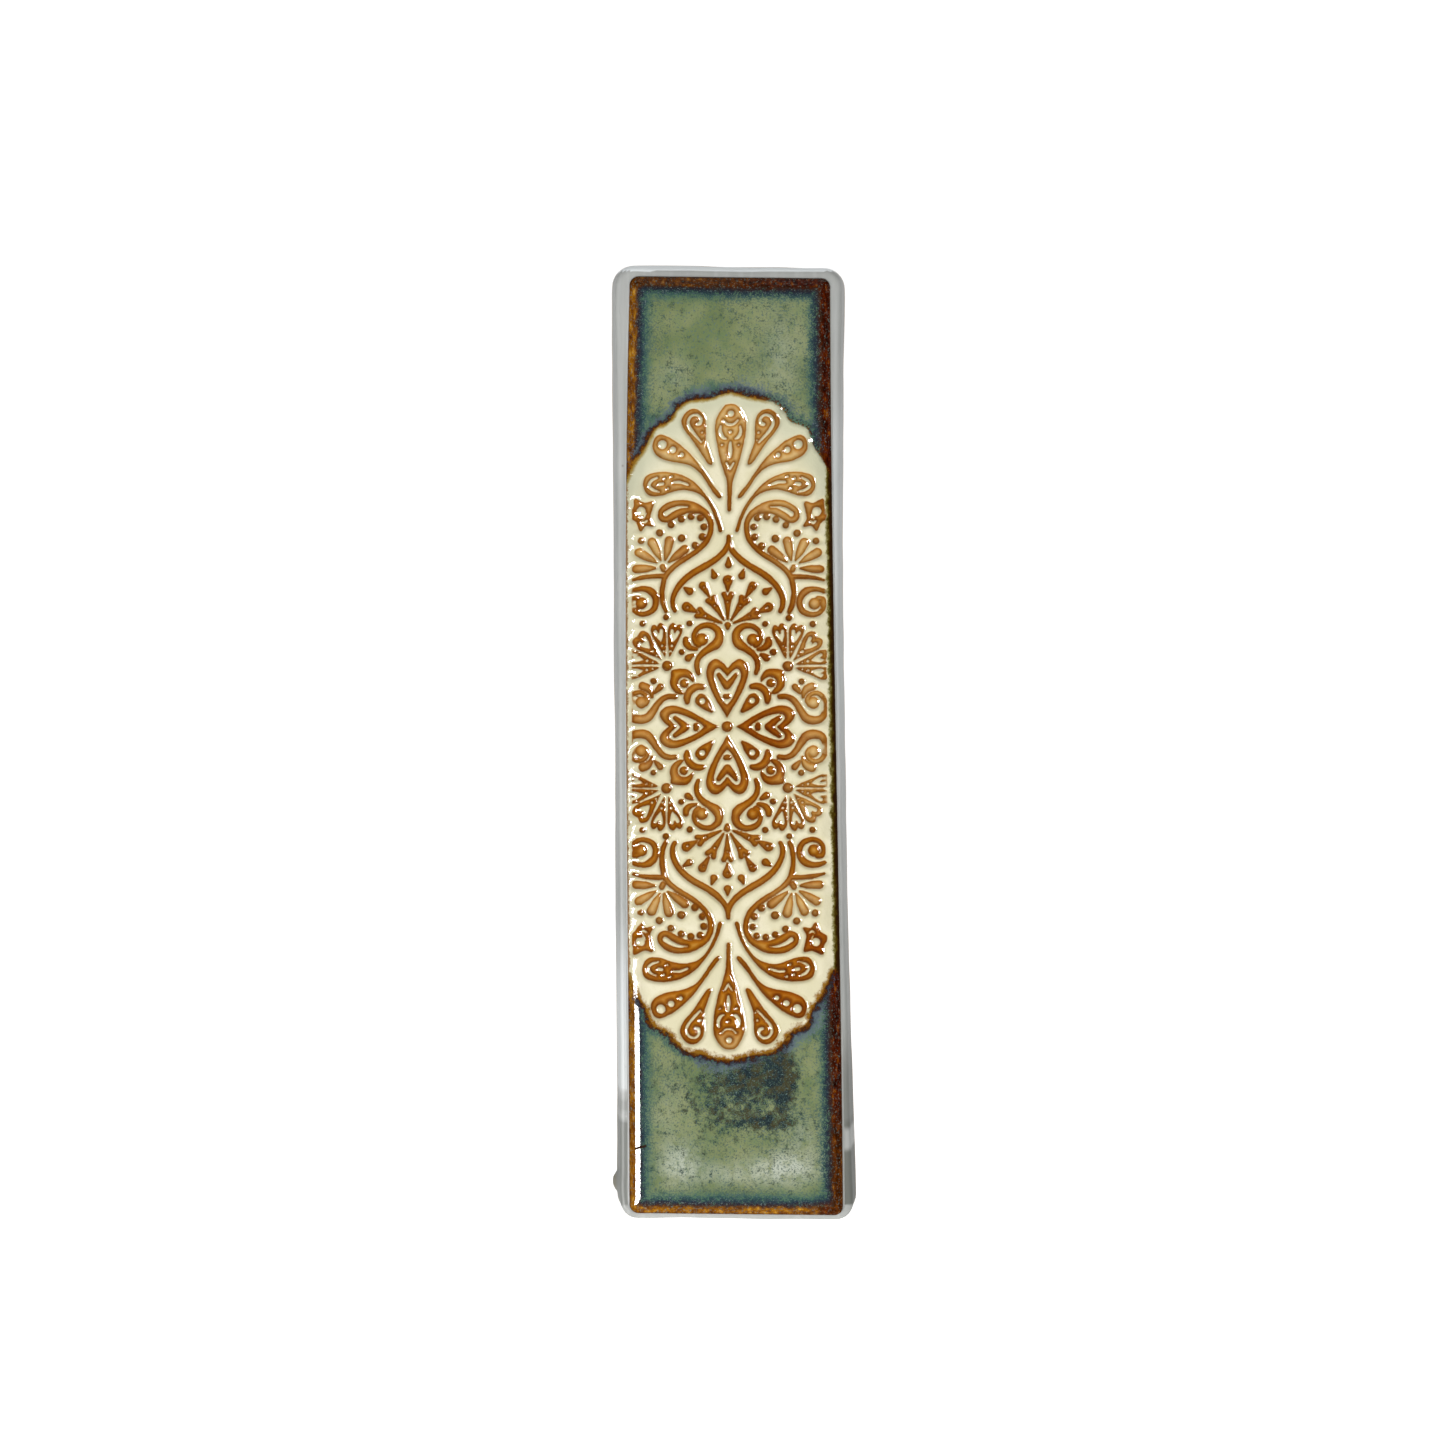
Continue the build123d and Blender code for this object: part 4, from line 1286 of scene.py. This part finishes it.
def back_cover(material):
    """A plate with a moulded line round its outer face, and two ribs and six ejector marks inside."""
    line = [
        (rounded_loop(COVER_WIDTH - 2 * inset, COVER_LENGTH - 2 * inset, COVER_CORNER - 0.6 * inset,
                      side_points=6), COVER_LOW + rise)
        for inset, rise in ((2.9, 0.0), (2.6, 0.22), (2.1, 0.22), (1.8, 0.0))
    ]
    plate = plate_loops(COVER_WIDTH, COVER_LENGTH, COVER_CORNER, COVER_LOW, COVER_HIGH, 0.35, side_points=6)
    solids = [stack(line + plate)]
    for x in (-11.0, 11.0):
        rib = plate_loops(1.4, 92.0, 0.63, COVER_HIGH - 0.1, COVER_HIGH + 1.2, 0.3, centre=(x, 0))
        solids.append(stack(rib))
    for centre in [(x, z) for x in (-6.5, 6.5) for z in (-46.0, 0.0, 46.0)]:
        solids.append(stack([
            (rounded_loop(2 * radius, 2 * radius, radius, centre=centre), COVER_HIGH + rise)
            for radius, rise in ((1.5, -0.1), (1.5, 0.05), (1.42, 0.08))
        ]))
    piece = add_piece("moulded_cover", *joined(solids), "cover", "cover_plastic", [material], sharp=40)
    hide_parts("back_cover")


STRIP_WIDTH, STRIP_LOW, STRIP_HIGH = 0.7, 0.6, 2.0


def foam_strip(length, centre, seed):
    """A soft foam strip: rounded, slightly wavy along its length."""
    loops = plate_loops(STRIP_WIDTH, length, 0.45 * STRIP_WIDTH, STRIP_LOW, STRIP_HIGH, 0.2, 40, centre)
    return stack([
        (loop, height + 0.04 * lumps(loop[:, 0] + loop[:, 1], loop[:, 1], 2.5, seed))
        for loop, height in loops
    ])


def foam_strips(material):
    """The strips down both sides of the cover, and those along its ends, which are turned by 90 degrees."""
    beside, beyond = (COVER_WIDTH + STRIP_WIDTH) / 2, (COVER_LENGTH + STRIP_WIDTH) / 2
    sides, ends = [], []
    for side in (-1, 1):
        sides.append(foam_strip(104.0, (side * beside, 0), 51 + side))
        points, faces = foam_strip(23.4, (0, 0), 54 + side)
        ends.append((points[:, [1, 0, 2]] + [0, side * beyond, 0], [face[::-1] for face in faces]))
    piece = add_piece("side_foam_strips", *joined(sides), "cover", "foam", [material], sharp=50)
    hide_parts("cover_side_strips")
    piece = add_piece("end_foam_strips", *joined(ends), "cover", "foam", [material], sharp=50)
    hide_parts("cover_end_strips")


PAD_WIDTH, PAD_LENGTH, PAD_CORNER, PAD_Z = 12.0, 16.0, 1.5, 34.0
# A pad's rings: how far each is drawn in, and its share of the height
PAD_RINGS = [(1.2, 0.0), (0.15, 0.0), (0.0, 0.12), (0.1, 0.35), (0.14, 0.55), (0.06, 0.74), (0.3, 0.86),
             (0.8, 0.93), (1.6, 0.965), (2.6, 0.985), (3.8, 0.995), (5.0, 1.0)]


def soft_pad(base, top, z, seed):
    """A cut pad of felt or foam: flat where it is glued, crowned where it is free, its sides drawn in."""
    rise = top - base
    loops = []
    for inset, share in PAD_RINGS:
        corner = max(PAD_CORNER - inset, 0.32 - 0.05 * inset)
        loop = rounded_loop(PAD_WIDTH - 2 * inset, PAD_LENGTH - 2 * inset, corner, corner_points=9,
                            side_points=18, centre=(0, z))
        nap = 0.05 * np.abs(lumps(loop[:, 0] * 3, loop[:, 1] * 3, 2.0, seed)) * np.sign(rise)
        if 0 < share < 1:
            spread = 1 + 0.012 * lumps(loop[:, 0], loop[:, 1], 1.6, seed + 1)
            loop = (loop - [0, z]) * spread[:, None] + [0, z]
        loops.append((loop, base + rise * share - (nap if share > 0.3 else 0.0)))
    return stack(loops)


def pads(felt_material, foam_material):
    """Two felt pads on the slab's back and two foam pads on the cover, which hold the scroll between them."""
    for name, node, body, slot, material, base, top in (
        ("felt_scroll_pads", "felt_pads", "case", "felt", felt_material,
         SLAB_BACK, SCROLL_AXIS + SCROLL_REACH),
        ("foam_scroll_pads", "cover_foam_pads", "cover", "foam", foam_material,
         COVER_HIGH, SCROLL_AXIS - SCROLL_REACH),
    ):
        solids = [soft_pad(base, top, side * PAD_Z, 60 + side) for side in (-1, 1)]
        piece = add_piece(name, *joined(solids), body, slot, [material])
        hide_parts(node)


THREAD_PITCH, THREAD_RELIEF = 0.62, 0.05


def pull_tab(material):
    """The woven ribbon: warp and weft threads pass over and under each other, with a firm selvedge."""
    columns, rows = 91, 217
    u, v = np.meshgrid(np.linspace(-0.5, 0.5, columns), np.linspace(-0.5, 0.5, rows))
    x, z = u * TAB_WIDTH, v * TAB_LENGTH
    over = ease(np.cos(np.pi * x / THREAD_PITCH) * np.cos(np.pi * z / THREAD_PITCH), -0.3, 0.3)
    warp, weft = (np.sqrt(np.abs(np.sin(np.pi * (along / THREAD_PITCH + 0.5)))) for along in (x, z))
    selvedge = ease(np.abs(u), 0.47, 0.5)
    relief = THREAD_RELIEF * (over * warp + (1 - over) * weft) * (1 - selvedge) + 0.02 * selvedge
    sag = 0.03 * lumps(x, z, 5.0, 71)
    fray = np.where(np.abs(v) > 0.495, 0.14 * lumps(x, z, 0.5, 72), 0)
    place = z + fray + TAB_Z
    layers = [
        np.stack([x.ravel(), place.ravel(), height.ravel()], 1)
        for height in (0.28 + sag - relief, np.full(x.shape, 0.47))
    ]
    piece = add_piece("woven_pull_tab", np.vstack(layers), sheet_faces(rows, columns), "cover", "ribbon",
                      [material])
    under = np.zeros(rows * columns)
    set_values(piece, "over", np.concatenate([(over * (1 - selvedge)).ravel(), under]))
    set_values(piece, "lift", np.concatenate([(relief / THREAD_RELIEF).ravel(), under]))
    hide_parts("cover_pull_tab")


# ---------------------------------------------------------------- scroll

ROLL_RADIUS, ROLL_STEP = 5.85, 0.62  # the outermost turn's radius, and how much each turn loses
PARCHMENT_HALF, FILM_GAUGE, FILM_RADIUS = 0.14, 0.1, 6.26
FILM_HALF_HEIGHT = 52.3


def round_axis(angles, radii, z):
    """Points at angles and radii round the scroll's axis."""
    across, height = radii * np.cos(angles), SCROLL_AXIS + radii * np.sin(angles)
    return np.stack([across.ravel(), z.ravel(), height.ravel()], 1)


def spiral():
    """Angle by angle, the rolled sheet's distance from the axis, until the sheet is used up."""
    step, angle, used, angles, radii = math.radians(3.0), 0.0, 0.0, [], []
    while used < SHEET:
        radius = ROLL_RADIUS - ROLL_STEP * angle / (2 * math.pi)
        angles.append(angle)
        radii.append(radius)
        used += radius * step
        angle += step
    return np.array(angles), np.array(radii)


def rolled_parchment(material):
    """The parchment, a little telescoped and uneven as hand-rolled skin is."""
    rows = 41
    angles, radii = spiral()
    turn, up = np.meshgrid(angles, np.linspace(-1, 1, rows))
    uneven = 0.06 * lumps(turn * 6, up * 20, 5.0, 81) * ease(turn, 0, 0.5)
    slip = 0.5 * np.sin(turn * 0.21) * ease(turn, 0.2, 3)
    trim = 0.15 * lumps(turn * 5, up * 3, 3.0, 82)
    z = up * (SHEET / 2 - 0.7) + slip + trim * np.abs(up)
    layers = [round_axis(turn, radii + offset + uneven, z) for offset in (PARCHMENT_HALF, -PARCHMENT_HALF)]
    faces = sheet_faces(rows, len(angles))
    piece = add_piece("rolled_parchment", np.vstack(layers), faces, "scroll", "parchment", [material],
                      sharp=50)
    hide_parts("scroll_parchment")


def clear_wrap(material):
    """The clear film wound a little more than once round the roll, its loose edge just lifting."""
    columns, rows = 130, 43
    first, lifts, last = np.radians([-20, 330, 358])
    turn, up = np.meshgrid(np.linspace(first, last, columns), np.linspace(-1, 1, rows))
    wave = 0.05 * lumps(turn * 5, up * 30, 1.6, 91) + 0.04 * lumps(turn * 9, up * 8, 2.0, 92)
    radii = FILM_RADIUS + wave * ease(np.abs(up), 0.1, 1.0) + 0.1 * ease(turn, lifts, last)
    z = up * FILM_HALF_HEIGHT + 0.12 * lumps(turn * 6, up, 1.5, 93) * np.abs(up)
    layers = [round_axis(turn, radii + offset, z) for offset in (FILM_GAUGE, 0.0)]
    faces = sheet_faces(rows, columns)
    piece = add_piece("clear_wrap", np.vstack(layers), faces, "scroll", "clear_film", [material], sharp=60)
    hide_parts("scroll_film")


# ---------------------------------------------------------------- studio

DIM_ROOM, WHITE_ROOM = 0.03, 0.6  # what the glaze mirrors, in front of the object and behind it
SOFT_FILL, WHITE_GROUND = 0.3, 1.05


def add_light(name, place, aim, size, power):
    light = bpy.data.lights.new(name, "AREA")
    light.shape = "RECTANGLE"
    light.size, light.size_y = size
    light.energy = power
    lamp = bpy.data.objects.new(name, light)
    bpy.context.scene.collection.objects.link(lamp)
    lamp.location = place
    lamp.rotation_euler = (Vector(aim) - Vector(place)).to_track_quat("-Z", "Y").to_euler()
    lamp.visible_camera = False
    return lamp


def add_camera():
    place, aim = Vector((-0.0012, -1.5, 0.036)), Vector((-0.0012, -0.024, 0.0039))
    camera = bpy.data.cameras.new("camera")
    camera.sensor_width = 36.0
    camera.lens = 207.0
    camera.clip_start, camera.clip_end = 0.05, 20.0
    holder = bpy.data.objects.new("camera", camera)
    bpy.context.scene.collection.objects.link(holder)
    holder.location = place
    holder.rotation_euler = (aim - place).to_track_quat("-Z", "Y").to_euler()
    bpy.context.scene.camera = holder


def add_floor():
    low, half = CAD_BOX[0].z, 1.6
    s = Shader("pale_floor", roughness=0.8, Emission_Strength=0.75, Emission_Color=(1, 1, 1, 1))
    s.finish(s.mix(s.noise(3, 2), (247, 247, 246), (250, 250, 249)))
    mesh = bpy.data.meshes.new("floor")
    corners = [(-half, -half, low), (half, -half, low), (half, half, low), (-half, half, low)]
    mesh.from_pydata(corners, [], [(0, 1, 2, 3)])
    mesh.materials.append(s.material)
    floor = bpy.data.objects.new("floor", mesh)
    bpy.context.scene.collection.objects.link(floor)
    floor.visible_shadow = False
    floor.visible_glossy = False


def add_world():
    """A white room behind the object and a dim one in front, which the glaze mirrors, on a white ground."""
    world = bpy.data.worlds.new("studio")
    bpy.context.scene.world = world
    world.use_nodes = True
    tree = world.node_tree
    background = tree.nodes["Background"]
    direction = tree.nodes.new("ShaderNodeTexCoord")
    split = tree.nodes.new("ShaderNodeSeparateXYZ")
    tree.links.new(direction.outputs["Generated"], split.inputs[0])

    def level(source, ends, strengths):
        made = tree.nodes.new("ShaderNodeMapRange")
        tree.links.new(source, made.inputs["Value"])
        for socket, value in zip(("From Min", "From Max", "To Min", "To Max"), (*ends, *strengths)):
            if isinstance(value, bpy.types.NodeSocket):
                tree.links.new(value, made.inputs[socket])
            else:
                made.inputs[socket].default_value = value
        return made.outputs["Result"]

    path = tree.nodes.new("ShaderNodeLightPath")
    mirrored = level(split.outputs["Y"], (0.1, 0.8), (DIM_ROOM, WHITE_ROOM))
    unseen = level(path.outputs["Is Glossy Ray"], (0, 1), (SOFT_FILL, mirrored))
    strength = level(path.outputs["Is Camera Ray"], (0, 1), (unseen, WHITE_GROUND))
    tree.links.new(strength, background.inputs["Strength"])
    background.inputs["Color"].default_value = (1.0, 1.0, 1.0, 1.0)


def studio():
    """Soft light from the lower left, above and in front. The key and the fill don't show in the glaze."""
    add_camera()
    add_floor()
    add_world()
    key = add_light("key", (-0.43, -0.69, -0.38), (0, -0.02, 0), (0.6, 0.5), 4.9)
    key.visible_glossy = False
    sparkle = add_light("sparkle", (-0.87, -0.25, -0.3), (0, -0.02, 0), (0.33, 0.42), 24)
    sparkle.visible_diffuse = False
    add_light("overhead", (0.2, 0.5, 1.4), (0, 0, 0), (1.6, 1.6), 5)
    fill = add_light("fill", (0.15, -0.6, 1.0), (0, 0, 0.05), (0.9, 0.9), 2.4)
    fill.visible_glossy = False
    bpy.context.scene.view_settings.view_transform = "Standard"


# ---------------------------------------------------------------- assembly

clay_material = stoneware()
foam_material = foam()
relief_slab(relief_glaze(), clay_material)
case_walls(white_glaze())
hanger_bridges(clay_material)
back_cover(matt_plastic())
foam_strips(foam_material)
pads(felt(), foam_material)
pull_tab(ribbon())
rolled_parchment(parchment())
clear_wrap(clear_film())
studio()
